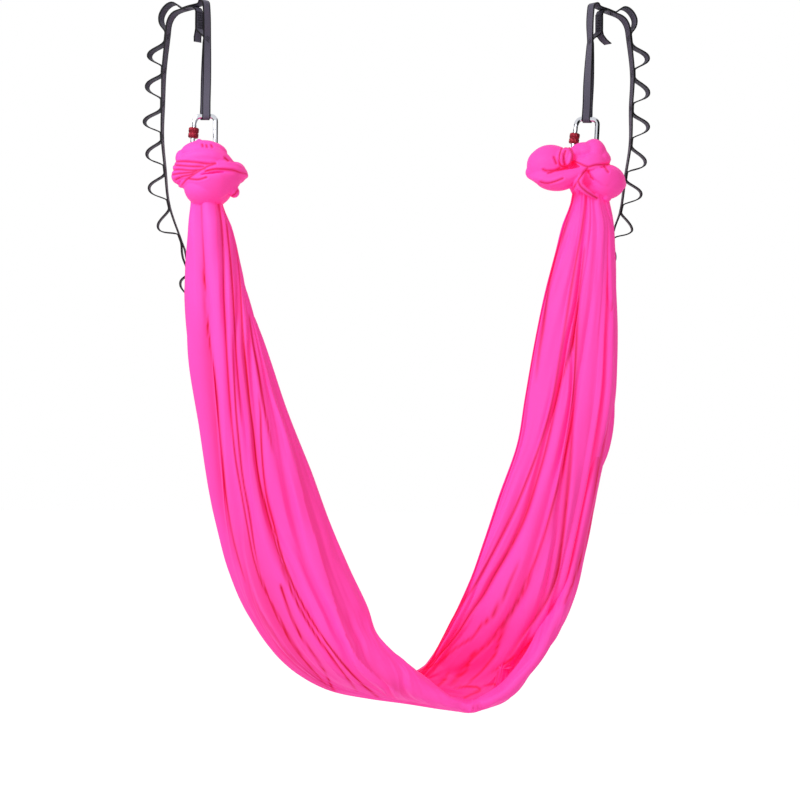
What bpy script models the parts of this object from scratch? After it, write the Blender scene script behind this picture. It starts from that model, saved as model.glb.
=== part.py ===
"""Aerial hammock: a pink tricot sling knotted onto two steel screw-lock carabiners,
each hanging in the end loop of a black daisy-chain strap.

Metres, +Z up, +X to the right as the sling is seen from the front, +Y to the back.
The origin lies midway between the two hook seats, where the hooks carry the straps.
"""

from math import cos, log, pi, radians, sin, sqrt, tan

import bmesh
import bpy
from mathutils import Matrix, Vector

# Layout of the whole hammock
HOOK_SPAN = 0.941
STRAP_DROP = 0.2762
CARABINER_INSET = 0.0036
RIGHT_CARABINER_INSET = 0.0208
RUNNING_GAP = 0.0003
SOFT_GAP = 0.0005
WELD_DISTANCE = 0.00001

# Daisy-chain webbing
WEBBING_WIDTH = 0.020
WEBBING_THICKNESS = 0.0016
CHAIN_PITCH = 0.082
TACK_LENGTH = 0.016
HOOK_BEND_RADIUS = 0.017
LOOP_SEAT_CLEARANCE = 0.0011
LOOP_SKEW = 0.008
LOOP_SHIFT = 0.0037
LAYER_GAP = 0.0005
LEG_LENGTH = 0.190
LADDER_LENGTH = 0.042
STRAP_STEP = 0.0075

# Carabiner frame and gate
CARABINER_WIDTH = 0.070
CARABINER_HEIGHT = 0.112
ROD_DIAMETER = 0.012
TOP_CORNER_RADIUS = 0.016
SPINE_CORNER_RADIUS = 0.012
BOTTOM_CORNER_RADIUS = 0.021
GATE_LENGTH = 0.053
GATE_DIAMETER = 0.011
GATE_PIVOT_HEIGHT = 0.028
GATE_LEAN = radians(5.0)
GATE_OPENING = radians(28.0)
HINGE_TANG_THICKNESS = 0.005
HINGE_TANG_RADIUS = 0.0042
TANG_CAM_RISE = 0.0008
RIVET_DIAMETER = 0.003
NOSE_COLLAR_DIAMETER = 0.0108
NOSE_COLLAR_LENGTH = 0.004
NOSE_LAP = 0.0072
NOSE_TONGUE_WIDTH = 0.0078
LATCH_PIN_DIAMETER = 0.0026
LATCH_PIN_DEPTH = 0.0042
FORK_CLEARANCE = 0.0004
RIGHT_RING_TILT = radians(2.5)

# Screw sleeve
SLEEVE_DIAMETER = 0.0245
SLEEVE_LENGTH = 0.0246
SLEEVE_REST = 0.0195
RIGHT_SLEEVE_REST = 0.0115
SLEEVE_WAIST = 0.0012
SLEEVE_CHAMFER = 0.0022
SLEEVE_FLUTES = 18
FLUTE_DEPTH = 0.0006
SLEEVE_ROOM = 0.0035

# Gate spring and its plunger
SPRING_DIAMETER = 0.0044
SPRING_WIRE = 0.0007
SPRING_LENGTH = 0.018
SPRING_TURNS = 9
PLUNGER_HEAD_LENGTH = 0.002
PLUNGER_TIP_DIAMETER = 0.002
PLUNGER_LENGTH = 0.0052
PLUNGER_START = 0.0003
SPRING_BORE_DIAMETER = 0.0052

# Cloth
KNOT_WIDTH = 0.170
KNOT_DEPTH = 0.150
KNOT_HEIGHT = 0.158
KNOT_GRIP = 0.053
KNOT_VOXEL = 0.0062
KNOT_FACES = 1500
NECK_INSET = 0.0105
NECK_SPAN = HOOK_SPAN - 2 * NECK_INSET
SLING_DROP = 1.220
SLING_WIDTH = 0.262
SLING_DEPTH = 0.250
CLOTH_WALL = 0.018
FOLD_DEPTH_SHARE = 0.17
CLOTH_WALL_LIMIT_SHARE = 0.45
TROUGH_WALL_SHARE = 0.94
RIM_SHARE = 0.98
RIM_STEP_SHARE = 0.05

# Number of facets round each form
ROD_SIDES = 14
TURNED_SIDES = 24
SLING_STATIONS = 33
SECTION_POWER = 2.6

# Chain spines in shares of the pitch: outwards, backwards, downwards, turn in degrees.
# The first row is the tack beside the hook; a row marked 1 is a tacked node.
LEFT_SPINE_SHARES = [
    (0.57, 0.63, 0.05, 50, 1), (0.94, 0.80, 0.13, 42, 0), (1.13, 0.88, 0.38, 34, 0),
    (1.19, 0.93, 0.80, 28, 1), (1.30, 0.98, 1.81, 22, 1), (1.33, 1.02, 2.79, 14, 1),
    (1.35, 1.07, 3.77, 8, 1), (1.26, 1.10, 4.76, 4, 1), (1.15, 1.15, 5.78, 2, 1),
    (0.81, 1.20, 6.79, 0, 1), (0.66, 1.22, 7.21, 0, 0), (0.59, 1.24, 7.81, 0, 1),
    (0.58, 1.24, 8.66, 0, 1),
]
RIGHT_SPINE_SHARES = [
    (0.55, 0.63, 0.07, 50, 1), (0.90, 0.78, 0.17, 42, 0), (1.08, 0.85, 0.39, 34, 0),
    (1.15, 0.90, 0.76, 26, 1), (1.28, 0.98, 1.80, 20, 1), (1.25, 1.02, 2.82, 15, 1),
    (1.25, 1.07, 3.84, 8, 1), (1.11, 1.10, 4.85, 4, 1), (0.99, 1.15, 5.83, 2, 1),
    (0.81, 1.18, 6.39, 0, 0), (0.73, 1.22, 6.84, 0, 1), (0.72, 1.22, 7.72, 0, 1),
]
# Each pocket's depth as a share of the pitch, and where its peak lies along it.
LEFT_POCKET_SHARES = [
    (0.40, 0.50), (0.55, 0.58), (0.52, 0.46), (0.54, 0.57), (0.49, 0.49), (0.51, 0.51),
    (0.50, 0.54), (0.08, 0.50), (0.20, 0.40),
]
RIGHT_POCKET_SHARES = [
    (0.39, 0.50), (0.54, 0.60), (0.51, 0.51), (0.52, 0.55), (0.51, 0.52), (0.52, 0.50),
    (0.50, 0.48), (0.10, 0.50),
]
# Stations of the two layers along each pocket.
LOOP_STATION_SHARES = (0.06, 0.14, 0.22, 0.30, 0.38, 0.46, 0.54, 0.62, 0.70, 0.78, 0.86, 0.94)
STRAIGHT_STATION_SHARES = (0.06, 0.20, 0.40, 0.60, 0.80, 0.94)
# Stations of the end loop's legs, from the tack down to the carabiner.
LEG_STATION_SHARES = (0.0, 0.06, 0.20, 0.40, 0.60, 0.80, 0.93)
# The loose tail under the ladder, in shares of the pitch past the ladder line.
LEFT_TAIL_SHARES = [(0.02, 0.03, 0.10), (0.05, 0.07, 0.22), (0.05, 0.09, 0.36)]
RIGHT_TAIL_SHARES = [(0.03, 0.03, 0.10), (0.13, 0.07, 0.22), (0.27, 0.10, 0.33)]

# How far the strap's face is turned at the hook and at the tack of the end loop.
LEFT_TURNS_DEGREES = (55, 58)
RIGHT_TURNS_DEGREES = (50, 34)

# Sling path: across as a share of half the neck span, down as a share of the drop, half the
# section's width and depth as shares of the sling's, then the near rim and the trough's floor
# across the section (-1 outer edge, 1 far rim) and how far the trough is open.
SLING_PATH_SHARES = [
    (-0.993, 0.000, 0.29, 0.30, 0.90, 0.85, 0.0), (-0.976, 0.058, 0.42, 0.42, 0.90, 0.85, 0.0),
    (-0.954, 0.150, 0.55, 0.47, 0.90, 0.85, 0.0), (-0.907, 0.251, 0.69, 0.52, 0.90, 0.85, 0.0),
    (-0.835, 0.362, 0.78, 0.58, 0.90, 0.80, 0.0), (-0.737, 0.492, 0.90, 0.66, 0.90, 0.75, 0.1),
    (-0.637, 0.624, 0.98, 0.74, 0.90, 0.45, 0.4), (-0.515, 0.744, 0.99, 0.82, 0.90, 0.05, 0.8),
    (-0.383, 0.828, 0.90, 0.90, 0.90, -0.35, 1.0), (-0.204, 0.902, 0.69, 0.96, 0.86, -0.60, 1.0),
    (0.000, 0.935, 0.48, 1.00, 0.70, -0.68, 1.0), (0.190, 0.945, 0.45, 1.00, -0.15, -0.68, 1.0),
    (0.350, 0.922, 0.61, 0.98, -0.58, -0.72, 1.0), (0.485, 0.873, 0.76, 0.92, -0.62, -0.75, 1.0),
    (0.592, 0.802, 0.86, 0.86, -0.68, -0.78, 0.9), (0.667, 0.737, 0.91, 0.80, -0.74, -0.80, 0.7),
    (0.761, 0.618, 0.87, 0.72, -0.78, -0.82, 0.4), (0.870, 0.473, 0.79, 0.64, -0.80, -0.84, 0.1),
    (0.913, 0.365, 0.80, 0.58, -0.80, -0.84, 0.0), (0.935, 0.275, 0.75, 0.53, -0.80, -0.84, 0.0),
    (0.954, 0.197, 0.68, 0.48, -0.80, -0.84, 0.0), (0.978, 0.118, 0.58, 0.44, -0.80, -0.84, 0.0),
    (1.000, 0.030, 0.44, 0.38, -0.80, -0.84, 0.0), (1.006, -0.010, 0.31, 0.30, -0.80, -0.84, 0.0),
]
# Where the folds' creases lie: across the near face from the outer edge to the near rim, across
# the trough from its floor to the far rim, and across the back.
NEAR_CREASE_SHARES = [0.0, 0.17, 0.36, 0.50, 0.64, 0.80, 1.0]
FAR_CREASE_SHARES = [0.0, 0.30, 0.45, 0.62, 0.80, 1.0]
BACK_CREASE_SHARES = [0.0, 0.22, 0.42, 0.60, 0.80, 1.0]

# Knot lobes in shares of the knot's width, depth and height: centre, then radii.
LEFT_LOBE_SHARES = [
    ((-0.03, 0.00, 0.17), (0.36, 0.36, 0.30)), ((0.02, 0.00, -0.18), (0.37, 0.38, 0.27)),
    ((-0.39, -0.02, 0.00), (0.15, 0.24, 0.15)), ((0.36, 0.00, -0.02), (0.24, 0.32, 0.21)),
    ((0.30, -0.02, -0.28), (0.12, 0.24, 0.12)),
]
RIGHT_LOBE_SHARES = [
    ((-0.38, -0.02, 0.06), (0.42, 0.34, 0.24)), ((0.24, 0.00, 0.20), (0.27, 0.32, 0.31)),
    ((0.46, 0.00, -0.08), (0.25, 0.33, 0.28)), ((0.10, 0.00, -0.20), (0.36, 0.36, 0.26)),
    ((0.02, 0.02, 0.10), (0.34, 0.38, 0.26)),
]
# Wraps of cloth round each knot: points along the wrap, then its radius.
LEFT_WRAP_SHARES = [
    ([(-0.36, -0.16, -0.10), (-0.16, -0.42, -0.13), (0.14, -0.46, -0.02), (0.40, -0.26, 0.04),
      (0.52, 0.02, 0.02), (0.36, 0.30, -0.04), (0.00, 0.42, -0.08)], 0.15),
    ([(-0.42, 0.06, 0.03), (-0.34, -0.28, 0.08), (-0.08, -0.42, 0.16), (0.22, -0.34, 0.20),
      (0.36, 0.02, 0.16), (0.10, 0.38, 0.12), (-0.28, 0.30, 0.06)], 0.11),
]
RIGHT_WRAP_SHARES = [
    ([(-0.60, 0.06, 0.02), (-0.46, -0.26, -0.04), (-0.16, -0.36, 0.04), (0.02, -0.38, 0.20),
      (0.12, -0.20, 0.36)], 0.13),
    ([(0.02, -0.34, -0.28), (0.14, -0.42, -0.06), (0.36, -0.34, 0.08), (0.60, -0.06, 0.04),
      (0.62, 0.16, -0.08), (0.34, 0.36, -0.06), (-0.10, 0.38, 0.00)], 0.14),
]
KNOT_CENTRE_SHARE = 0.09
RIGHT_KNOT_CENTRE_SHARE = -0.115
KNOT_NECK_SHARE = 0.23

COLOURS = {
    "webbing": ((0.030, 0.025, 0.040), 0.85, 0.0),
    "polished_steel": ((0.62, 0.63, 0.66), 0.18, 1.0),
    "red_anodised": ((0.36, 0.02, 0.035), 0.35, 0.9),
    "spring_steel": ((0.35, 0.35, 0.37), 0.35, 1.0),
    "tricot": ((1.0, 0.09, 0.50), 0.7, 0.0),
}

collection = None
cutters = None


def clear_scene():
    for obj in list(bpy.data.objects):
        bpy.data.objects.remove(obj, do_unlink=True)


def make_collection(name, hidden=False):
    made = bpy.data.collections.new(name)
    bpy.context.scene.collection.children.link(made)
    made.hide_render = hidden
    return made


def material(name):
    """The named finish, made once and shared."""
    made = bpy.data.materials.get(name)
    if made is None:
        made = bpy.data.materials.new(name)
        made.use_nodes = True
        colour, roughness, metallic = COLOURS[name]
        shader = made.node_tree.nodes["Principled BSDF"]
        shader.inputs["Base Color"].default_value = (*colour, 1.0)
        shader.inputs["Roughness"].default_value = roughness
        shader.inputs["Metallic"].default_value = metallic
    return made


def add_object(name, data, finish, smooth=True):
    """Link a mesh or curve as one sub-part of the hammock."""
    obj = bpy.data.objects.new(name, data)
    collection.objects.link(obj)
    data.materials.append(material(finish))
    if smooth and isinstance(data, bpy.types.Mesh):
        data.shade_smooth()
        data.set_sharp_from_angle(angle=radians(35))
    return obj


def add_cutter(name, data, matrix=None):
    """Link a mesh as a hidden cutting tool."""
    obj = bpy.data.objects.new(name, data)
    cutters.objects.link(obj)
    obj.hide_render = True
    obj.display_type = "WIRE"
    if matrix is not None:
        obj.matrix_world = matrix
    return obj


def combine(obj, tool, operation):
    """Keep a Boolean with a tool on an object."""
    modifier = obj.modifiers.new(operation.lower() + "_" + tool.name, "BOOLEAN")
    modifier.operation = operation
    modifier.object = tool
    modifier.solver = "EXACT"


def apply_modifiers(obj):
    """Replace an object's mesh by its evaluated one."""
    bpy.context.view_layer.update()
    depsgraph = bpy.context.evaluated_depsgraph_get()
    mesh = bpy.data.meshes.new_from_object(obj.evaluated_get(depsgraph))
    obj.modifiers.clear()
    obj.data = mesh


def cylinder_mesh(name, radius, length, sides=TURNED_SIDES, along="Z"):
    """A closed cylinder centred on its own origin."""
    bm = bmesh.new()
    bmesh.ops.create_cone(bm, cap_ends=True, segments=sides, radius1=radius, radius2=radius,
                          depth=length)
    if along == "Y":
        bmesh.ops.rotate(bm, cent=(0, 0, 0), matrix=Matrix.Rotation(pi / 2, 3, "X"), verts=bm.verts)
    return finish_mesh(name, bm)


def box_mesh(name, low, high):
    """A closed box between two corners."""
    bm = bmesh.new()
    bmesh.ops.create_cube(bm, size=1.0)
    size = [b - a for a, b in zip(low, high)]
    middle = [(a + b) / 2 for a, b in zip(low, high)]
    bmesh.ops.scale(bm, vec=size, verts=bm.verts)
    bmesh.ops.translate(bm, vec=middle, verts=bm.verts)
    return finish_mesh(name, bm)


def finish_mesh(name, bm):
    bmesh.ops.recalc_face_normals(bm, faces=bm.faces)
    mesh = bpy.data.meshes.new(name)
    bm.to_mesh(mesh)
    bm.free()
    return mesh


def loft_mesh(name, rings):
    """Close a row of rings with equal point counts into one skin with two end faces."""
    bm = bmesh.new()
    rows = [[bm.verts.new(point) for point in ring] for ring in rings]
    count = len(rows[0])
    for low, high in zip(rows, rows[1:]):
        for i in range(count):
            j = (i + 1) % count
            bm.faces.new((low[i], low[j], high[j], high[i]))
    bm.faces.new(list(reversed(rows[0])))
    bm.faces.new(rows[-1])
    return finish_mesh(name, bm)


def turned_mesh(name, profile, sides=TURNED_SIDES):
    """Turn a profile of (radius, height) points, top to bottom, about Z with Screw."""
    mesh = bpy.data.meshes.new(name + "_profile")
    points = [(radius, 0.0, height) for radius, height in profile]
    mesh.from_pydata(points, [(i, i + 1) for i in range(len(points) - 1)], [])
    obj = bpy.data.objects.new(name + "_profile", mesh)
    collection.objects.link(obj)
    screw = obj.modifiers.new("turn", "SCREW")
    screw.axis = "Z"
    screw.steps = sides
    screw.render_steps = sides
    screw.use_merge_vertices = True
    screw.merge_threshold = WELD_DISTANCE
    apply_modifiers(obj)
    bm = bmesh.new()
    bm.from_mesh(obj.data)
    bpy.data.objects.remove(obj, do_unlink=True)
    bmesh.ops.remove_doubles(bm, verts=bm.verts, dist=WELD_DISTANCE)
    return finish_mesh(name, bm)


def tube_mesh(name, points, radius, resolution, closed=False):
    """A bevelled POLY curve made into a mesh with its caps welded."""
    curve = bpy.data.curves.new(name, "CURVE")
    curve.dimensions = "3D"
    curve.bevel_depth = radius
    curve.bevel_resolution = resolution
    curve.use_fill_caps = True
    spline = curve.splines.new("POLY")
    spline.points.add(len(points) - 1)
    spline.use_cyclic_u = closed
    for item, point in zip(spline.points, points):
        item.co = (*point, 1.0)
    obj = bpy.data.objects.new(name, curve)
    collection.objects.link(obj)
    bpy.context.view_layer.update()
    depsgraph = bpy.context.evaluated_depsgraph_get()
    mesh = bpy.data.meshes.new_from_object(obj.evaluated_get(depsgraph))
    bpy.data.objects.remove(obj, do_unlink=True)
    bm = bmesh.new()
    bm.from_mesh(mesh)
    bmesh.ops.remove_doubles(bm, verts=bm.verts, dist=WELD_DISTANCE)
    return finish_mesh(name, bm)


def smooth_values(controls, per_span):
    """Catmull-Rom values through rows of numbers, per_span steps between rows."""
    rows = [controls[0]] + list(controls) + [controls[-1]]
    values = []
    for a, b, c, d in zip(rows, rows[1:], rows[2:], rows[3:]):
        for step in range(per_span):
            t = step / per_span
            values.append([
                0.5 * (2 * q + (r - p) * t + (2 * p - 5 * q + 4 * r - s) * t * t
                       + (3 * q - p - 3 * r + s) * t ** 3)
                for p, q, r, s in zip(a, b, c, d)
            ])
    values.append(list(controls[-1]))
    return values


class Side:
    """One strap's own frame: outwards from its hook, backwards and downwards."""

    def __init__(self, name, sign, spine, pockets, tail, turns, inset, sleeve_rest):
        self.name = name
        self.sign = sign
        self.spine = spine
        self.pockets = pockets
        self.tail = tail
        self.crown_turn = radians(turns[0])
        self.node_turn = radians(turns[1])
        self.bar_x = sign * (HOOK_SPAN / 2 - inset)
        self.sleeve_rest = sleeve_rest

    def point(self, out, back, down):
        return Vector((self.sign * (HOOK_SPAN / 2 + out), back, -down))

    def vector(self, out, back, down):
        return Vector((self.sign * out, back, -down))

    def width_axis(self, turn):
        return self.vector(sin(turn), -cos(turn), 0)

    def face_axis(self, turn):
        return self.vector(-cos(turn), -sin(turn), 0)


LEFT = Side("left", -1, LEFT_SPINE_SHARES, LEFT_POCKET_SHARES, LEFT_TAIL_SHARES,
            LEFT_TURNS_DEGREES, CARABINER_INSET, SLEEVE_REST)
RIGHT = Side("right", 1, RIGHT_SPINE_SHARES, RIGHT_POCKET_SHARES, RIGHT_TAIL_SHARES,
             RIGHT_TURNS_DEGREES, RIGHT_CARABINER_INSET, RIGHT_SLEEVE_REST)

LAYER_STEP = WEBBING_THICKNESS + LAYER_GAP
CROWN_FACET = radians(15)


def spine_rows(side):
    """The straight layer of the chain: place, turn and node mark, from the hook down."""
    rows = []
    for out, back, down, turn, node in side.spine:
        place = side.point(out * CHAIN_PITCH, back * CHAIN_PITCH, down * CHAIN_PITCH)
        rows.append([*place, radians(turn), node])
    return rows


def chain_frames(side):
    """Places along the spine with width axis, outward normal, length and node lengths."""
    rows = spine_rows(side)
    per_span = 10
    fine = smooth_values([row[:4] for row in rows], per_span)
    frames = []
    length = 0.0
    nodes = []
    for i, row in enumerate(fine):
        place = Vector(row[:3])
        before = Vector(fine[max(i - 1, 0)][:3])
        after = Vector(fine[min(i + 1, len(fine) - 1)][:3])
        tangent = (after - before).normalized()
        if i:
            length += (place - Vector(fine[i - 1][:3])).length
        width = side.width_axis(row[3])
        width = (width - tangent * width.dot(tangent)).normalized()
        normal = tangent.cross(width).normalized()
        if normal.dot(side.vector(1, 0, -1)) < 0:
            normal = -normal
        frames.append((place, width, normal, length))
        if i % per_span == 0 and rows[i // per_span][4]:
            nodes.append(length)
    return frames, nodes


def pocket_offset(side, length, nodes):
    """How far the looped layer stands off the straight one at a length along it."""
    for (depth, peak), start, end in zip(side.pockets, nodes, nodes[1:]):
        low = start + TACK_LENGTH / 2
        high = end - TACK_LENGTH / 2
        if low < length < high:
            share = ((length - low) / (high - low)) ** (log(0.5) / log(peak))
            return depth * CHAIN_PITCH * sin(pi * share) ** 2
    return 0.0


def chain_stations(side, shares):
    """Places down the chain: both ends of every tack and the given shares of each pocket."""
    frames, nodes = chain_frames(side)
    lengths = [nodes[0] - TACK_LENGTH / 2, nodes[0]]
    for start, end in zip(nodes, nodes[1:]):
        low = start + TACK_LENGTH / 2
        high = end - TACK_LENGTH / 2
        lengths += [low] + [low + (high - low) * share for share in shares] + [high]
    lengths.append(nodes[-1])
    stations = []
    index = 0
    for length in lengths:
        while index < len(frames) - 2 and frames[index + 1][3] < length:
            index += 1
        one, two = frames[index], frames[index + 1]
        t = (length - one[3]) / (two[3] - one[3])
        place = one[0].lerp(two[0], t)
        width = one[1].lerp(two[1], t).normalized()
        normal = one[2].lerp(two[2], t).normalized()
        stations.append((place, width, normal, pocket_offset(side, length, nodes)))
    return stations


def leg_frame(side, share):
    """Centre line of the end loop's two legs, from the tack (0) to the carabiner (1)."""
    top = leg_top(side)
    bottom = Vector((side.bar_x + LOOP_SHIFT, 0, -STRAP_DROP))
    place = top.lerp(bottom, share)
    turn = side.node_turn + (pi / 2 - side.node_turn) * min(1.0, 1.25 * share)
    spread = LAYER_STEP / 2 + (loop_radius() - LAYER_STEP / 2) * share ** 1.4
    return place, side.width_axis(turn), side.face_axis(turn), spread, LOOP_SKEW / 2 * share


def loop_radius():
    """Centre-line radius of the webbing where it passes under the carabiner's top bar."""
    return ROD_DIAMETER / 2 + LOOP_SEAT_CLEARANCE + WEBBING_THICKNESS / 2


def leg_top(side):
    """The tack where the two legs of the end loop meet, below the hook."""
    inward = HOOK_BEND_RADIUS * 0.6
    return side.point(-inward, 0, STRAP_DROP - LEG_LENGTH)


def crown_rows(side):
    """The looped layer over the hook, from its back to its front, one flat facet on top."""
    radius = (HOOK_BEND_RADIUS + WEBBING_THICKNESS / 2) / cos(CROWN_FACET)
    down = (radius - WEBBING_THICKNESS / 2) * cos(CROWN_FACET)
    centre = side.point(0, 0, down)
    face = side.face_axis(side.crown_turn)
    rows = []
    for step in (3, 1, -1, -3, -5):
        angle = pi / 2 + step * CROWN_FACET
        rows.append((centre + radius * (cos(angle) * face + Vector((0, 0, sin(angle)))),
                     side.width_axis(side.crown_turn)))
    return rows


def ladder_rows(side):
    """The inner layer beside the hook, from the tack up, where the strap's ends overlap."""
    start, width, face, spread, _ = leg_frame(side, 0)
    crown_face = side.face_axis(side.crown_turn)
    top_down = HOOK_BEND_RADIUS * 1.2
    straight = side.point(0, 0, 0) - crown_face * (HOOK_BEND_RADIUS + WEBBING_THICKNESS)
    rows = [(start - face * spread, width)]
    rise = -start.z - top_down - LADDER_LENGTH
    for share in (0.55, 1.0):
        blend = start.lerp(straight, share ** 0.8)
        rows.append((Vector((blend.x, blend.y, start.z + rise * share)), None))
    for share in (0.33, 0.66, 1.0):
        rows.append((Vector((straight.x, straight.y,
                             start.z + rise + LADDER_LENGTH * share)), None))
    crown_width = side.width_axis(side.crown_turn)
    return [(place, axis if axis is not None else crown_width) for place, axis in rows]


def looped_layer_rows(side):
    """The whole looped layer: pockets, over the hook, the end loop and the ladder."""
    rows = [(place + normal * (LAYER_STEP + offset), width)
            for place, width, normal, offset in reversed(chain_stations(side, LOOP_STATION_SHARES))]
    first = len(rows) - 1
    upper = crown_rows(side)
    rows += upper
    start, width, face, spread, _ = leg_frame(side, 0)
    front_start = start + face * spread
    drop = upper[-1][0].z - front_start.z
    side_point = upper[-1][0].lerp(front_start, 0.45)
    side_point.z = upper[-1][0].z - drop * 0.45
    rows.append((side_point + face * LAYER_STEP, side.width_axis(side.crown_turn)))
    for share in LEG_STATION_SHARES:
        place, width, face, spread, skew = leg_frame(side, share)
        rows.append((place + face * spread - width * skew, width))
    bar = Vector((side.bar_x + LOOP_SHIFT, 0, -STRAP_DROP))
    skew_axis = side.width_axis(pi / 2)
    face = side.face_axis(pi / 2)
    for step in range(9):
        angle = pi * step / 8
        place = bar + loop_radius() * (cos(angle) * face - Vector((0, 0, sin(angle))))
        rows.append((place - skew_axis * LOOP_SKEW / 2 * cos(angle), skew_axis))
    for share in reversed(LEG_STATION_SHARES[1:]):
        place, width, face, spread, skew = leg_frame(side, share)
        rows.append((place - face * spread + width * skew, width))
    ladder = ladder_rows(side)
    last = len(rows) + 2
    return rounded(rows + ladder, first, last)


def straight_layer_rows(side):
    """The straight layer: from the chain's end up to the hook, down the ladder, tail last."""
    rows = [(place, width)
            for place, width, _, _ in reversed(chain_stations(side, STRAIGHT_STATION_SHARES))]
    first = len(rows) - 1
    crown_face = side.face_axis(side.crown_turn)
    width = side.width_axis(side.crown_turn)
    ladder = [place - crown_face * LAYER_STEP for place, _ in reversed(ladder_rows(side)[2:])]
    top = rows[-1][0]
    elbow = top.lerp(ladder[0], 0.72)
    elbow.z = top.z - (top.z - ladder[0].z) * 0.30
    rows.append((elbow, width))
    last = len(rows)
    rows += [(place, width) for place in ladder]
    base = ladder[-1]
    for out, back, down in side.tail:
        rows.append((base + side.vector(out * CHAIN_PITCH, back * CHAIN_PITCH,
                                        down * CHAIN_PITCH), width))
    return rounded(rows, first, last)


def ribbon_mesh(name, rows):
    """A flat strap lofted along places with width axes."""
    rings = []
    for i, (place, width) in enumerate(rows):
        before = rows[max(i - 1, 0)][0]
        after = rows[min(i + 1, len(rows) - 1)][0]
        tangent = ((place - before).normalized() + (after - place).normalized()).normalized()
        across = width.normalized() * WEBBING_WIDTH / 2
        normal = across.cross(tangent).normalized() * WEBBING_THICKNESS / 2
        rings.append([place - across - normal, place + across - normal,
                      place + across + normal, place - across + normal])
    return loft_mesh(name, rings)


def rounded(rows, first, last):
    """Round a strap's bends between two rows: Catmull-Rom values at about the strap's step."""
    flat = [[*place, *width] for place, width in rows]
    ends = [flat[0]] + flat + [flat[-1]]
    fine = [flat[0]]
    for index, (a, b, c, d) in enumerate(zip(ends, ends[1:], ends[2:], ends[3:])):
        span = (Vector(c[:3]) - Vector(b[:3])).length
        steps = max(1, round(span / STRAP_STEP)) if first <= index < last else 1
        for step in range(1, steps + 1):
            t = step / steps
            fine.append([
                0.5 * (2 * q + (r - p) * t + (2 * p - 5 * q + 4 * r - s) * t * t
                       + (3 * q - p - 3 * r + s) * t ** 3)
                for p, q, r, s in zip(a, b, c, d)
            ])
    return [(Vector(row[:3]), Vector(row[3:])) for row in fine]


def make_straps(side):
    """Both webbing layers of one daisy chain."""
    looped = ribbon_mesh(side.name + "_looped_strap", looped_layer_rows(side))
    add_object(side.name + "_looped_strap", looped, "webbing")
    straight = ribbon_mesh(side.name + "_straight_strap", straight_layer_rows(side))
    add_object(side.name + "_straight_strap", straight, "webbing")


def filleted(corners, radii, step_angle=radians(12)):
    """A line through corners in the XZ plane with each inner corner rounded."""
    points = [Vector(corners[0])]
    for before, corner, after, radius in zip(corners, corners[1:], corners[2:], radii):
        corner = Vector(corner)
        one = (Vector(before) - corner).normalized()
        two = (Vector(after) - corner).normalized()
        half = one.angle(two) / 2
        centre = corner + (one + two).normalized() * radius / sin(half)
        start = corner + one * radius * cos(half) / sin(half) - centre
        end = corner + two * radius * cos(half) / sin(half) - centre
        total = start.angle(end)
        steps = max(2, round(total / step_angle))
        for i in range(steps + 1):
            t = i / steps
            arc = (start * sin((1 - t) * total) + end * sin(t * total)) / sin(total)
            points.append(centre + arc)
    points.append(Vector(corners[-1]))
    return points


def gate_pivot():
    """The hinge rivet's place in the carabiner's frame, whose origin is the top bar."""
    spine = CARABINER_WIDTH / 2 - ROD_DIAMETER / 2
    bottom = -(CARABINER_HEIGHT - ROD_DIAMETER)
    height = bottom + GATE_PIVOT_HEIGHT
    return Vector((GATE_PIVOT_HEIGHT * tan(GATE_LEAN) - spine, 0, height))


def gate_matrix(opening=0.0):
    """From the gate's frame, rivet at the origin and +Z to the nose, to the carabiner's."""
    return Matrix.Translation(gate_pivot()) @ Matrix.Rotation(opening + GATE_LEAN, 4, "Y")


def along_gate(distance):
    return gate_matrix() @ Vector((0, 0, distance))


def ring_matrix(side):
    """Each carabiner hangs by its top bar in the strap; the right one is tilted a little."""
    tilt = RIGHT_RING_TILT if side.sign > 0 else 0.0
    seat = Matrix.Translation((side.bar_x + LOOP_SHIFT, 0, -STRAP_DROP))
    return seat @ Matrix.Rotation(tilt, 4, "Y") @ Matrix.Translation((-LOOP_SHIFT, 0, 0))


def frame_line():
    """Centre line of the steel rod from the nose round to the hinge."""
    spine = CARABINER_WIDTH / 2 - ROD_DIAMETER / 2
    bottom = -(CARABINER_HEIGHT - ROD_DIAMETER)
    nose = along_gate(GATE_LENGTH + NOSE_COLLAR_LENGTH)
    heel = along_gate(-GATE_DIAMETER / 2 - FORK_CLEARANCE)
    lift = GATE_PIVOT_HEIGHT
    top_left = along_gate((-gate_pivot().z) / cos(GATE_LEAN))
    low_left = along_gate(-lift / cos(GATE_LEAN))
    corners = [nose, top_left, (spine, 0, 0), (spine, 0, bottom), low_left, heel]
    radii = [TOP_CORNER_RADIUS, SPINE_CORNER_RADIUS, BOTTOM_CORNER_RADIUS,
             BOTTOM_CORNER_RADIUS * 0.7]
    return filleted([Vector(corner) for corner in corners], radii)


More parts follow.
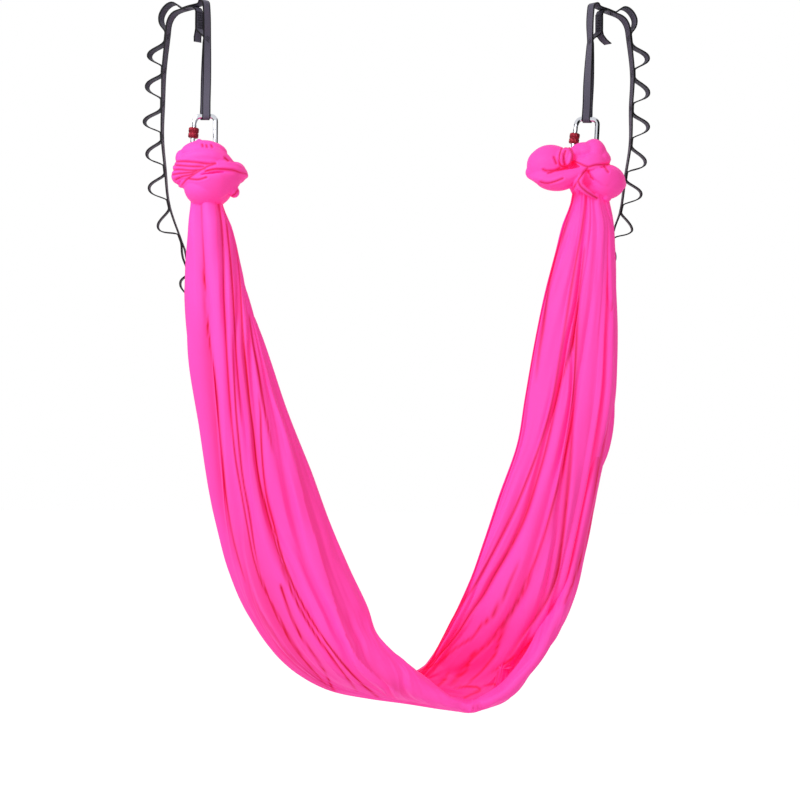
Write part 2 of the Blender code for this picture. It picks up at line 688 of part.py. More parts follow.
def make_frame(side):
    """The bent rod with its hinge tang and its notched nose tongue."""
    place = ring_matrix(side)
    rod = tube_mesh(side.name + "_rod", frame_line(), ROD_DIAMETER / 2, 3)
    obj = add_object(side.name + "_carabiner_frame", rod, "polished_steel")
    obj.matrix_world = place
    gate = place @ gate_matrix()
    over = NOSE_COLLAR_LENGTH + ROD_DIAMETER / 8 - FORK_CLEARANCE
    collar = cylinder_mesh(side.name + "_collar", NOSE_COLLAR_DIAMETER / 2, over)
    at_nose = gate @ Matrix.Translation((0, 0, GATE_LENGTH + FORK_CLEARANCE + over / 2))
    combine(obj, add_cutter(side.name + "_collar", collar, at_nose), "UNION")
    tang = add_cutter(side.name + "_tang", tang_mesh(side.name + "_tang"), gate)
    combine(obj, tang, "UNION")
    reach = GATE_LENGTH - NOSE_LAP
    half = NOSE_TONGUE_WIDTH / 2
    thick = HINGE_TANG_THICKNESS / 2
    tongue = box_mesh(side.name + "_tongue", (-half, -thick, reach),
                      (half, thick, GATE_LENGTH + NOSE_COLLAR_LENGTH / 2))
    combine(obj, add_cutter(side.name + "_tongue", tongue, gate), "UNION")
    notch_radius = LATCH_PIN_DIAMETER / 2 + FORK_CLEARANCE
    pin_height = GATE_LENGTH - LATCH_PIN_DEPTH
    notch = box_mesh(side.name + "_notch", (0, -ROD_DIAMETER, pin_height - notch_radius),
                     (ROD_DIAMETER, ROD_DIAMETER, pin_height + notch_radius))
    combine(obj, add_cutter(side.name + "_notch", notch, gate), "DIFFERENCE")
    socket = cylinder_mesh(side.name + "_socket", notch_radius, ROD_DIAMETER, along="Y")
    at_pin = gate @ Matrix.Translation((0, 0, pin_height))
    combine(obj, add_cutter(side.name + "_socket", socket, at_pin), "DIFFERENCE")
    eye = cylinder_mesh(side.name + "_eye", RIVET_DIAMETER / 2 + RUNNING_GAP, ROD_DIAMETER,
                        along="Y")
    combine(obj, add_cutter(side.name + "_eye", eye, gate), "DIFFERENCE")
    return obj


def tang_radius(angle):
    """The tang's edge rises on the side that meets the plunger as the gate opens."""
    share = max(0.0, min(1.0, angle / GATE_OPENING))
    return HINGE_TANG_RADIUS + TANG_CAM_RISE * share


def tang_mesh(name):
    """The hinge plate: a cam-edged round with a foot let into the rod's end."""
    half = HINGE_TANG_THICKNESS / 2
    foot = GATE_DIAMETER
    outline = []
    steps = 16
    for i in range(steps + 1):
        angle = -pi * 0.55 + pi * 1.1 * i / steps
        radius = tang_radius(angle)
        outline.append((radius * sin(angle), radius * cos(angle)))
    outline.append((HINGE_TANG_RADIUS * 0.9, -foot))
    outline.append((-HINGE_TANG_RADIUS * 0.9, -foot))
    rings = [[(x, y, z) for x, z in outline] for y in (-half, half)]
    return loft_mesh(name, rings)


def make_gate(side):
    """The hollow gate: round heel, forked at both ends, bored for its spring."""
    name = side.name + "_gate"
    place = ring_matrix(side) @ gate_matrix()
    radius = GATE_DIAMETER / 2
    chamfer = radius * 0.12
    profile = [(0.0, GATE_LENGTH), (radius - chamfer, GATE_LENGTH), (radius, GATE_LENGTH - chamfer)]
    for step in range(7):
        angle = pi / 2 * step / 6
        profile.append((radius * cos(angle), -radius * sin(angle)))
    obj = add_object(name, turned_mesh(name, profile), "polished_steel")
    obj.matrix_world = place
    slot = HINGE_TANG_THICKNESS / 2 + FORK_CLEARANCE
    heel_top = HINGE_TANG_RADIUS + TANG_CAM_RISE + FORK_CLEARANCE
    over = GATE_DIAMETER
    heel = box_mesh(name + "_heel_slot", (-over, -slot, -over), (over, slot, heel_top))
    combine(obj, add_cutter(name + "_heel_slot", heel, place), "DIFFERENCE")
    jaw_low = GATE_LENGTH - NOSE_LAP - FORK_CLEARANCE
    jaw = box_mesh(name + "_nose_slot", (-over, -slot, jaw_low), (over, slot, GATE_LENGTH + over))
    combine(obj, add_cutter(name + "_nose_slot", jaw, place), "DIFFERENCE")
    depth = spring_end() + RUNNING_GAP
    bore = cylinder_mesh(name + "_bore", SPRING_BORE_DIAMETER / 2, depth)
    combine(obj, add_cutter(name + "_bore", bore, place @ Matrix.Translation((0, 0, depth / 2))),
            "DIFFERENCE")
    for label, size, height in (("rivet", RIVET_DIAMETER, 0.0),
                                ("latch", LATCH_PIN_DIAMETER, GATE_LENGTH - LATCH_PIN_DEPTH)):
        hole = cylinder_mesh(name + "_" + label + "_hole", size / 2 + RUNNING_GAP / 3, over * 2,
                             along="Y")
        at_hole = place @ Matrix.Translation((0, 0, height))
        combine(obj, add_cutter(name + "_" + label + "_hole", hole, at_hole), "DIFFERENCE")
    return obj


def make_pins(side):
    """The hinge rivet and the latch pin, each across the gate."""
    place = ring_matrix(side) @ gate_matrix()
    for label, size, height in (("hinge_rivet", RIVET_DIAMETER, 0.0),
                                ("latch_pin", LATCH_PIN_DIAMETER, GATE_LENGTH - LATCH_PIN_DEPTH)):
        name = side.name + "_" + label
        chord = sqrt((GATE_DIAMETER / 2) ** 2 - (size / 2) ** 2) * 2 - RUNNING_GAP
        obj = add_object(name, cylinder_mesh(name, size / 2, chord, 16, along="Y"),
                         "polished_steel")
        obj.matrix_world = place @ Matrix.Translation((0, 0, height))


def plunger_foot():
    """The plunger's tip stands just clear of the hinge tang."""
    return HINGE_TANG_RADIUS + PLUNGER_START


def spring_start():
    return plunger_foot() + PLUNGER_LENGTH + TANG_CAM_RISE + RUNNING_GAP / 2


def spring_end():
    return spring_start() + SPRING_LENGTH + SPRING_WIRE


def make_spring(side):
    """The coil in the gate's bore and the plunger that it drives against the tang."""
    place = ring_matrix(side) @ gate_matrix()
    name = side.name + "_gate_spring"
    per_turn = 8
    points = []
    for i in range(SPRING_TURNS * per_turn + 1):
        angle = 2 * pi * i / per_turn
        height = spring_start() + SPRING_WIRE / 2 + SPRING_LENGTH * i / (SPRING_TURNS * per_turn)
        radius = (SPRING_DIAMETER - SPRING_WIRE) / 2
        points.append((radius * cos(angle), radius * sin(angle), height))
    obj = add_object(name, tube_mesh(name, points, SPRING_WIRE / 2, 1), "spring_steel")
    obj.matrix_world = place
    tip = PLUNGER_TIP_DIAMETER / 2
    head = SPRING_DIAMETER / 2
    foot = plunger_foot()
    top = foot + PLUNGER_LENGTH
    profile = [(0.0, top), (head, top), (head, top - PLUNGER_HEAD_LENGTH),
               (tip, top - PLUNGER_HEAD_LENGTH), (tip, foot + tip)]
    for step in range(1, 5):
        angle = pi / 2 * step / 4
        profile.append((tip * cos(angle), foot + tip - tip * sin(angle)))
    name = side.name + "_spring_plunger"
    obj = add_object(name, turned_mesh(name, profile, 14), "polished_steel")
    obj.matrix_world = place


def make_sleeve(side):
    """The fluted two-tier screw sleeve, lofted as flutes are and bored to run on the gate."""
    name = side.name + "_screw_sleeve"
    outer = SLEEVE_DIAMETER / 2
    inner = GATE_DIAMETER / 2 + RUNNING_GAP
    half = SLEEVE_LENGTH / 2
    waist = SLEEVE_LENGTH * 0.06
    levels = [
        (0.0, outer - SLEEVE_CHAMFER, 0.0), (SLEEVE_CHAMFER * 0.8, outer, 1.0),
        (half - waist, outer, 1.0), (half, outer - SLEEVE_WAIST, 0.4), (half + waist, outer, 1.0),
        (SLEEVE_LENGTH - SLEEVE_CHAMFER * 0.8, outer, 1.0),
        (SLEEVE_LENGTH, outer - SLEEVE_CHAMFER, 0.0),
    ]
    count = SLEEVE_FLUTES * 2
    rings = []
    for height, radius, flute in levels:
        ring = []
        for i in range(count):
            angle = 2 * pi * i / count
            reach = radius - (FLUTE_DEPTH * flute if i % 2 else 0.0)
            ring.append((reach * cos(angle), reach * sin(angle), side.sleeve_rest + height))
        rings.append(ring)
    place = ring_matrix(side) @ gate_matrix()
    obj = add_object(name, loft_mesh(name, rings), "red_anodised")
    obj.matrix_world = place
    bore = cylinder_mesh(name + "_bore", inner, SLEEVE_LENGTH * 2, 28)
    at_middle = place @ Matrix.Translation((0, 0, side.sleeve_rest + half))
    combine(obj, add_cutter(name + "_bore", bore, at_middle), "DIFFERENCE")


def knot_centre(side):
    """The middle of the knot, gripped by the carabiner's lower bow."""
    share = KNOT_CENTRE_SHARE if side.sign < 0 else RIGHT_KNOT_CENTRE_SHARE
    grip_top = -STRAP_DROP - CARABINER_HEIGHT + ROD_DIAMETER / 2 + KNOT_GRIP
    lift = 0.05 * KNOT_HEIGHT if side.sign > 0 else 0.0
    return Vector((side.bar_x + share * KNOT_WIDTH, 0, grip_top - KNOT_HEIGHT / 2 + lift))


def neck_place(side):
    """Where the gathered cloth leaves the knot."""
    share = SLING_PATH_SHARES[0 if side.sign < 0 else -1]
    return Vector((share[0] * NECK_SPAN / 2, 0, sling_top() - share[1] * SLING_DROP))


def sling_top():
    centre = knot_centre(LEFT)
    return centre.z - KNOT_HEIGHT / 2


def make_knot(side, lobes, wraps):
    """One knot of gathered cloth: lobes and wraps grown together, seated on the carabiner."""
    name = side.name + "_knot"
    centre = knot_centre(side)
    scale = Vector((KNOT_WIDTH, KNOT_DEPTH, KNOT_HEIGHT))
    bm = bmesh.new()
    for middle, radii in lobes:
        place = centre + Vector([a * b for a, b in zip(middle, scale)])
        size = Matrix.Diagonal([a * b for a, b in zip(radii, scale)]).to_4x4()
        bmesh.ops.create_uvsphere(bm, u_segments=20, v_segments=12, radius=1.0,
                                  matrix=Matrix.Translation(place) @ size)
    neck = neck_place(side)
    stub = [centre, centre.lerp(neck, 0.5), neck - Vector((0, 0, KNOT_VOXEL * 3))]
    tubes = [(stub, KNOT_NECK_SHARE * KNOT_WIDTH)]
    for points, radius in wraps:
        line = smooth_values(points, 3)
        tubes.append(([centre + Vector([a * b for a, b in zip(point, scale)]) for point in line],
                      radius * KNOT_HEIGHT))
    for points, radius in tubes:
        mesh = tube_mesh(name + "_wrap", points, radius, 4)
        bm.from_mesh(mesh)
        bpy.data.meshes.remove(mesh)
    mesh = finish_mesh(name, bm)
    obj = add_object(name, mesh, "tricot")
    remesh = obj.modifiers.new("grow_together", "REMESH")
    remesh.mode = "VOXEL"
    remesh.voxel_size = KNOT_VOXEL
    soften = obj.modifiers.new("soften", "SMOOTH")
    soften.factor = 0.5
    soften.iterations = 3
    apply_modifiers(obj)
    thin = obj.modifiers.new("thin", "DECIMATE")
    thin.ratio = min(1.0, KNOT_FACES / max(1, 2 * len(obj.data.polygons)))
    apply_modifiers(obj)
    over = KNOT_WIDTH * 2
    floor = neck.z + SOFT_GAP / 2
    below = box_mesh(name + "_below", (-over, -over, -over), (over, over, 0))
    combine(obj, add_cutter(name + "_below", below, Matrix.Translation((centre.x, 0, floor))),
            "DIFFERENCE")
    rod = tube_mesh(name + "_rod_room", frame_line(), ROD_DIAMETER / 2 + SOFT_GAP, 3)
    combine(obj, add_cutter(name + "_rod_room", rod, ring_matrix(side)), "DIFFERENCE")
    room = gate_room_mesh(name + "_gate_room", side)
    combine(obj, add_cutter(name + "_gate_room", room, ring_matrix(side)), "DIFFERENCE")
    apply_modifiers(obj)
    obj.data.shade_smooth()


def gate_room_mesh(name, side):
    """The space that the gate and its sleeve sweep, closed round with some room."""
    bm = bmesh.new()
    slim = GATE_DIAMETER / 2 + SOFT_GAP * 2
    wide = SLEEVE_DIAMETER / 2 + SOFT_GAP * 2
    shelf = side.sleeve_rest - SLEEVE_ROOM
    bands = [(slim, -GATE_DIAMETER / 2 - SOFT_GAP), (wide, shelf), (wide, GATE_LENGTH)]
    for opening in (0.0, GATE_OPENING):
        matrix = gate_matrix(opening)
        for radius, height in bands:
            for i in range(16):
                angle = 2 * pi * i / 16
                bm.verts.new(matrix @ Vector((radius * cos(angle), radius * sin(angle), height)))
    bmesh.ops.convex_hull(bm, input=bm.verts)
    loose = [vert for vert in bm.verts if not vert.link_faces]
    bmesh.ops.delete(bm, geom=loose, context="VERTS")
    return finish_mesh(name, bm)


def bulge_share(across, opening):
    """How deep the section is at a place across it, from a closed bundle to an open trough."""
    rounded_share = (1 - abs(across) ** SECTION_POWER) ** (1 / SECTION_POWER)
    if across < 0:
        return rounded_share
    return rounded_share + (TROUGH_WALL_SHARE - rounded_share) * opening


def section_outline(half_width, half_depth, near_rim, floor, opening):
    """One closed section of the gathered cloth: outside, near rim, trough, far rim and back."""
    def point(across, depth):
        return (across * half_width, depth)

    def reach(across):
        return bulge_share(across, opening) * half_depth

    def wall(across):
        return min(CLOTH_WALL, CLOTH_WALL_LIMIT_SHARE * reach(across))

    points = [point(across, -reach(across) + (FOLD_DEPTH_SHARE * half_depth if crease else 0.0))
              for across, crease in fold_places(NEAR_CREASE_SHARES, -1.0, near_rim)]
    near_top = -reach(near_rim)
    rim_wall = wall(near_rim)
    floor = min(floor, near_rim - RIM_STEP_SHARE)
    floor_wall = wall(floor)
    points.append(point(near_rim, near_top))
    points.append(point(near_rim, near_top + rim_wall))
    points.append(point(floor, -reach(floor) + floor_wall))
    start = near_rim + RIM_STEP_SHARE + (floor - near_rim - RIM_STEP_SHARE) * opening
    for across, crease in fold_places(FAR_CREASE_SHARES, start, RIM_SHARE):
        inside = (2 * reach(across) - wall(across)) * opening - reach(across)
        closed_depth = FOLD_DEPTH_SHARE * half_depth
        groove = closed_depth + (wall(across) / 2 - closed_depth) * opening
        points.append(point(across, inside + (groove if crease else 0.0)))
    rim_depth = reach(RIM_SHARE)
    points.append(point(1.0, (rim_depth - wall(RIM_SHARE) / 2) * opening))
    for across, crease in reversed(fold_places(BACK_CREASE_SHARES, -RIM_SHARE, RIM_SHARE)):
        groove = FOLD_DEPTH_SHARE * half_depth if crease else 0.0
        points.append(point(across, reach(across) - groove * (1 - opening / 2)))
    return points


def fold_places(creases, start, end):
    """Places across one face: every crease, and the fold's crest before it."""
    places = [(start, False)]
    for before, crease in zip(creases, creases[1:]):
        places.append((start + (end - start) * (before + crease) / 2, False))
        if crease < 1:
            places.append((start + (end - start) * crease, True))
    return places + [(end, False)] if end == RIM_SHARE else places


def make_sling():
    """The hanging cloth between the two knots, lofted round its long folded path."""
    controls = []
    for across, down, width, depth, near_rim, floor, opening in SLING_PATH_SHARES:
        controls.append((across * NECK_SPAN / 2, 0.0, sling_top() - down * SLING_DROP,
                         width * SLING_WIDTH / 2, depth * SLING_DEPTH / 2,
                         near_rim, floor, opening))
    fine = smooth_values(controls, 8)
    stations = [fine[round(i * (len(fine) - 1) / (SLING_STATIONS - 1))]
                for i in range(SLING_STATIONS)]
    rings = []
    count = len(stations)
    for i, row in enumerate(stations):
        place = Vector(row[:3])
        before = Vector(stations[max(i - 1, 0)][:3])
        after = Vector(stations[min(i + 1, count - 1)][:3])
        tangent = (after - before).normalized()
        if i == 0:
            tangent = Vector((0, 0, -1))
            place.z -= SOFT_GAP / 2
        if i == count - 1:
            tangent = Vector((0, 0, 1))
            place.z -= SOFT_GAP / 2
        across = tangent.cross(Vector((0, 1, 0))).normalized()
        near_rim = max(-RIM_SHARE, min(RIM_SHARE - RIM_STEP_SHARE, row[5]))
        opening = max(0.0, min(1.0, row[7]))
        outline = section_outline(row[3], row[4], near_rim, max(-RIM_SHARE, row[6]), opening)
        rings.append([place + across * p + Vector((0, q, 0)) for p, q in outline])
    obj = add_object("silk_sling", loft_mesh("silk_sling", rings), "tricot", smooth=False)
    obj.data.shade_smooth()


def make_carabiner(side):
    make_frame(side)
    make_gate(side)
    make_pins(side)
    make_spring(side)
    make_sleeve(side)


def main():
    global collection, cutters
    clear_scene()
    collection = make_collection("aerial_hammock")
    cutters = make_collection("aerial_hammock_cutters", hidden=True)
    for side in (LEFT, RIGHT):
        make_straps(side)
        make_carabiner(side)
    make_knot(LEFT, LEFT_LOBE_SHARES, LEFT_WRAP_SHARES)
    make_knot(RIGHT, RIGHT_LOBE_SHARES, RIGHT_WRAP_SHARES)
    make_sling()


main()
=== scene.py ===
"""The looks of the aerial hammock: pink tricot, black webbing and plated steel."""

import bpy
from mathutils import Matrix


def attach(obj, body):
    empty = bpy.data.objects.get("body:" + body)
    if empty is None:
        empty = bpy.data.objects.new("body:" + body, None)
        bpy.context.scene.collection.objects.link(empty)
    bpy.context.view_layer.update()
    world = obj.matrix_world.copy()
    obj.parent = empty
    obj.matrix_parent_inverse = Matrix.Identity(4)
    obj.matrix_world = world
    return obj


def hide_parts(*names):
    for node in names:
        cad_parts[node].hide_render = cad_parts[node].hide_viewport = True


bl_info = {
    "name": "Aerial hammock",
    "version": (1, 0, 0),
    "blender": (4, 5, 0),
    "location": "3D View > Sidebar > Hammock",
    "description": "Dresses the hammock's frame with its cloth, webbing, metal and studio",
    "category": "Object",
}

from math import cos, log, pi, radians, sin, tan

import bmesh
import bpy
import numpy as np
from bpy.props import FloatProperty, FloatVectorProperty, IntProperty, PointerProperty
from mathutils import Matrix, Vector

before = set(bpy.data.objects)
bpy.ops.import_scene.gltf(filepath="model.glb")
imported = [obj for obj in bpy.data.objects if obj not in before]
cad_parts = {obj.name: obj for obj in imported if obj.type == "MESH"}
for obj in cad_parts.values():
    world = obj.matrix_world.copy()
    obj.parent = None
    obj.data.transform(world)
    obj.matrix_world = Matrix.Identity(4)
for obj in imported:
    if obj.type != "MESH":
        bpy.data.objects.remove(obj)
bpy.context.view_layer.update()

# The photograph: one pixel at the hooks' depth, the camera's distance and the lean of the picture
PIXEL = 0.0024
EYE_DISTANCE = 3.2
LEAN = 0.0074
PHOTO_MIDDLE = 400.0
HOOK_PIXEL = (399.0, 2.65)
EYE_X = (PHOTO_MIDDLE - HOOK_PIXEL[0] + LEAN * (PHOTO_MIDDLE - HOOK_PIXEL[1])) * PIXEL
EYE_Z = -(PHOTO_MIDDLE - HOOK_PIXEL[1] - LEAN * (PHOTO_MIDDLE - HOOK_PIXEL[0])) * PIXEL
EYE = (EYE_X, -EYE_DISTANCE, EYE_Z)
FAR_AWAY = 1e9
TINY = 1e-9


def seen(pixels, depth):
    """World places of photograph pixels at depths behind the hooks."""
    pixels = np.asarray(pixels, float)
    depth = np.asarray(depth, float)
    across = pixels[..., 0] - HOOK_PIXEL[0] + LEAN * (pixels[..., 1] - HOOK_PIXEL[1])
    down = pixels[..., 1] - HOOK_PIXEL[1] - LEAN * (pixels[..., 0] - HOOK_PIXEL[0])
    grown = 1 + depth / EYE_DISTANCE
    x = EYE_X + (across * PIXEL - EYE_X) * grown
    z = EYE_Z - (down * PIXEL + EYE_Z) * grown
    return np.stack([x, depth, z], axis=-1)


def pixels_of(points):
    """The photograph's pixels at which world places are seen."""
    grown = 1 + points[:, 1] / EYE_DISTANCE
    across = ((points[:, 0] - EYE_X) / grown + EYE_X) / PIXEL
    down = ((EYE_Z - points[:, 2]) / grown - EYE_Z) / PIXEL
    y = (down + LEAN * across) / (1 + LEAN * LEAN)
    return np.stack([across - LEAN * y + HOOK_PIXEL[0], y + HOOK_PIXEL[1]], axis=1)


def hex_colour(text):
    """A hex sRGB colour in the renderer's linear values."""
    levels = [int(text[i:i + 2], 16) / 255 for i in (1, 3, 5)]
    return tuple(c / 12.92 if c <= 0.04045 else ((c + 0.055) / 1.055) ** 2.4
                 for c in levels) + (1.0,)


def fill(tree, node, inputs):
    """Fill a node's inputs with values, sockets or the first output of other nodes."""
    for key, value in inputs.items():
        if isinstance(value, bpy.types.Node):
            value = value.outputs[0]
        if isinstance(value, bpy.types.NodeSocket):
            tree.links.new(value, node.inputs[key])
        else:
            node.inputs[key].default_value = value
    return node


def add_node(tree, kind, inputs=None, **settings):
    """Add a node, set its properties and fill its inputs."""
    made = tree.nodes.new(kind)
    for name, value in settings.items():
        setattr(made, name, value)
    return fill(tree, made, inputs or {})


def rows_of(width, *numbers):
    """A table with the same count of numbers in each row."""
    return np.array(numbers, float).reshape(-1, width)


def unit(vectors):
    """Vectors brought to length one."""
    return vectors / np.maximum(np.linalg.norm(vectors, axis=-1, keepdims=True), TINY)


def bell(values, middle, width):
    """A smooth hump of height one about a middle value."""
    return np.exp(-((values - middle) / width) ** 2)


def through(knots, rows, places, limited=False):
    """Smooth values at places through rows of numbers set at increasing knots."""
    knots = np.asarray(knots, float)
    rows = np.asarray(rows, float).reshape(len(knots), -1)
    gaps = np.diff(knots)[:, None]
    rises = np.diff(rows, axis=0) / gaps
    before, after = rises[:-1], rises[1:]
    if limited:
        steady = before * after > 0
        inner = np.where(steady, 2 * before * after / np.where(steady, before + after, 1), 0)
    else:
        inner = (before * gaps[1:] + after * gaps[:-1]) / (gaps[1:] + gaps[:-1])
    slopes = np.vstack([rises[:1], inner, rises[-1:]])
    index = np.clip(np.searchsorted(knots, places, "right") - 1, 0, len(knots) - 2)
    gap = (knots[index + 1] - knots[index])[:, None]
    t = (places - knots[index])[:, None] / gap
    return (rows[index] * (1 + 2 * t) * (1 - t) ** 2 + slopes[index] * gap * t * (1 - t) ** 2
            + rows[index + 1] * t * t * (3 - 2 * t) + slopes[index + 1] * gap * t * t * (t - 1))


def smooth_line(rows, per_span, limited=False):
    """A line through rows of numbers, with per_span steps from row to row."""
    knots = np.arange(len(rows))
    return through(knots, rows, np.linspace(0, knots[-1], per_span * knots[-1] + 1), limited)


def catmull_rom(a, b, c, d, t):
    """The value between b and c on a Catmull-Rom curve."""
    return 0.5 * (2 * b + (c - a) * t + (2 * a - 5 * b + 4 * c - d) * t * t
                  + (3 * b - a - 3 * c + d) * t ** 3)


# Sling: each row is a section of the cloth, from the left knot round to the right one.
# Outer edge, near rim and far rim as pixels, half depth, near and far fold depths, and how
# far the section is a trough (1) and how far it is the right limb (1).
SLING_ROWS = rows_of(
    11,
    191.5, 193, 222, 193, 222, 193, .034, .011, .011, 0, 0,
    190.5, 205, 223.5, 205, 223, 205, .036, .011, .011, 0, 0,
    187.9, 228, 232.8, 228, 233, 228, .042, .013, .013, 0, 0,
    186, 263, 241.4, 263.5, 241, 263, .048, .014, .014, 0, 0,
    185.6, 300, 250, 300, 250, 300, .052, .015, .015, 0, 0,
    188, 350, 268, 350, 268, 350, .056, .016, .016, 0, 0,
    196.5, 411, 288.4, 411.5, 288, 411, .06, .017, .017, 0, 0,
    207, 470, 311.9, 470, 311, 470, .066, .018, .018, 0, 0,
    217.5, 523, 331.8, 523.6, 331, 523, .074, .018, .018, 0, 0,
    231, 572, 350.2, 568.4, 350, 568, .084, .018, .018, .1, 0,
    250, 615, 368.5, 608, 362, 610, .092, .018, .018, .35, 0,
    280, 656, 377.5, 633, 368, 638, .098, .018, .018, .7, 0,
    323, 685, 394.5, 652.4, 382, 660, .1, .017, .018, 1, 0,
    364, 695.5, 412, 666, 398, 671, .1, .016, .018, 1, 0,
    405, 701, 435.6, 686, 410, 669, .1, .014, .018, 1, 0,
    445, 707, 459, 702, 419, 665, .1, .01, .018, 1, 0,
    471, 711.3, 470.5, 706, 424, 661, .1, .008, .018, 1, 0,
    489, 707.5, 481, 702.5, 430, 653, .1, .008, .019, 1, 0,
    511, 699, 501, 690, 437, 642, .1, .008, .02, .9, .1,
    527, 680, 519, 673, 444, 630, .098, .008, .02, .75, .25,
    545, 652, 537, 655, 451, 617, .094, .008, .02, .55, .45,
    560, 630, 553, 626, 459, 603, .088, .009, .02, .35, .65,
    573, 600, 566, 597, 470, 580, .08, .007, .02, .15, .85,
    584, 552, 577.5, 550, 482, 548, .072, .005, .019, 0, 1,
    596, 494.4, 590, 493, 499, 497, .066, .005, .018, 0, 1,
    606, 443, 599, 443, 517.5, 444, .062, .005, .018, 0, 1,
    614, 400, 606, 400, 524.6, 400, .058, .005, .017, 0, 1,
    616.7, 340, 609.5, 340, 535, 340, .054, .005, .016, 0, 1,
    615.9, 292, 609.5, 292, 544.5, 295, .05, .005, .015, 0, 1,
    614.7, 251, 609, 251, 555.5, 253, .046, .006, .014, 0, 1,
    612.7, 224, 607, 225, 562.5, 226, .042, .007, .013, 0, 1,
    607, 204, 600, 205, 571, 205, .036, .011, .011, 0, 1,
    603, 190, 597, 191, 574, 191, .034, .011, .011, 0, 1,
)
# Nine places of a section: shares from the outer edge to the near rim and to the far rim,
# and the depth as a share of the half depth. For the left limb, the trough and the right limb.
LIMB_SHARES = rows_of(
    3, .4, 0, .12, .72, 0, .08, 1, 0, -.3, .5, 0, -1, 0, 0, -.05, .18, 0, .75, .45, 0, 1, .75, 0,
    .85, .97, 0, .35)
TROUGH_SHARES = rows_of(
    3, .35, .1, -.45, .7, .05, -.55, 1, 0, -.85, .5, 0, -1.05, 0, 0, -.25, 0, .03, .1, 0, .3, .65,
    0, .68, .95, 0, 1, .85)
RIGHT_SHARES = rows_of(
    3, 0, .16, -.1, .5, .12, -.35, 1, 0, -.8, 0, 0, -.1, 0, .25, .85, 0, .8, .8, 0, .2, -.66, 0,
    .48, -.8, 0, 1, -.1)
# Creases of the near face by section row, outer edge (0) to rim (1), from the one tucked in
# furthest to the outermost; past 1 a crease is tucked in behind the rim, under 0 underneath.
NEAR_CREASE_SHARES = rows_of(
    9,
    0, 1.5, 1.4, 1.3, 1.2, 1.1, .98, .77, .31,
    1, 1.5, 1.4, 1.3, 1.2, 1.1, .98, .77, .31,
    3, 1.55, 1.42, 1.28, 1.14, .99, .84, .64, .33,
    4, 1.5, 1.3, 1.12, .97, .887, .74, .59, .346,
    5, 1.35, 1.15, .9, .84, .725, .6, .486, .28,
    6, 1.3, 1.1, .91, .78, .62, .52, .39, .22,
    7, 1.2, 1.05, .85, .69, .51, .42, .29, .15,
    8, 1.18, 1.03, .82, .65, .48, .36, .24, .09,
    9, 1.15, 1, .78, .63, .525, .32, .18, .04,
    10, 1.12, 1, .76, .62, .5, .28, .12, 0,
    11, 1.12, .98, .75, .6, .46, .22, .06, -.05,
    12, 1.1, .91, .61, .46, .33, .1, -.06, -.18,
    13, 1, .73, .44, .28, .13, -.05, -.18, -.28,
    14, .75, .28, .02, -.08, -.16, -.22, -.28, -.33,
    15, .5, .1, -.05, -.12, -.18, -.24, -.3, -.35,
    17, .9, .5, .1, -.05, -.15, -.22, -.29, -.35,
    20, 1.2, .8, .4, .1, -.1, -.2, -.3, -.38,
    23, 1.5, 1.2, .8, .5, .2, -.05, -.25, -.42,
    32, 1.5, 1.2, .8, .5, .2, -.05, -.25, -.42,
)
# Creases of the far face, inner rim (0) to outer edge (1), from the outermost inwards.
FAR_CREASE_SHARES = rows_of(
    7,
    0, .86, .71, .57, .43, .29, .14,
    11, .86, .71, .57, .43, .29, .14,
    14, .88, .76, .56, .3, .16, .06,
    16, .9, .8, .55, .12, .06, .02,
    18, .93, .82, .5, .12, .06, .02,
    20, .94, .8, .54, .17, .09, .03,
    22, .91, .765, .52, .19, .09, .03,
    23, .95, .777, .563, .277, .15, .05,
    24, .96, .71, .57, .34, .21, .07,
    25, .91, .62, .555, .32, .24, .06,
    26, .89, .62, .54, .37, .29, .05,
    27, .9, .68, .5, .417, .32, .06,
    28, .94, .75, .56, .49, .345, .09,
    29, .95, .78, .62, .48, .37, .13,
    31, .95, .78, .66, .52, .38, .18,
    32, .95, .78, .66, .52, .38, .18,
)
# How far those creases are folded in (1) or flattened out (0), in the same order.
NEAR_OPEN_SHARES = rows_of(
    9,
    0, .1, .1, .1, .1, .2, .7, .8, .8,
    3, .1, .1, .1, .2, .5, .6, .7, .9,
    4, .1, .1, .3, .4, .5, .6, .7, .95,
    5, .1, .1, .35, .5, .7, .6, .6, .95,
    6, .1, .1, .3, .6, .8, .6, .5, .95,
    7, .1, .1, .3, .7, .9, .5, .5, .9,
    8, .1, .1, .3, .8, .9, .5, .5, .8,
    9, .1, .1, .35, .8, .6, .5, .5, .6,
    10, .1, .1, .45, .8, .6, .5, .4, .4,
    11, .1, .2, .6, .8, .6, .5, .3, .2,
    12, .2, .3, .6, .7, .6, .4, .2, .2,
    13, .3, .5, .6, .6, .5, .2, .2, .2,
    14, .3, .4, .2, .1, .1, 0, 0, 0,
    15, 0, 0, 0, 0, 0, 0, 0, 0,
    16, 0, 0, 0, 0, 0, 0, 0, 0,
    32, 0, 0, 0, 0, 0, 0, 0, 0,
)
FAR_OPEN_SHARES = rows_of(
    7,
    0, .5, .5, .5, .5, .5, .5,
    14, .5, .5, .5, .5, .4, .4,
    17, .5, .5, .5, .5, .4, .4,
    20, .5, .6, .6, .5, .4, .3,
    22, .4, .7, .85, .5, .35, .2,
    25, .25, .85, .85, .6, .3, .15,
    27, .15, .5, .7, .9, .35, .15,
    28, .15, .25, .5, .9, .4, .15,
    29, .15, .15, .3, .7, .4, .15,
    32, .15, .2, .25, .5, .4, .2,
)
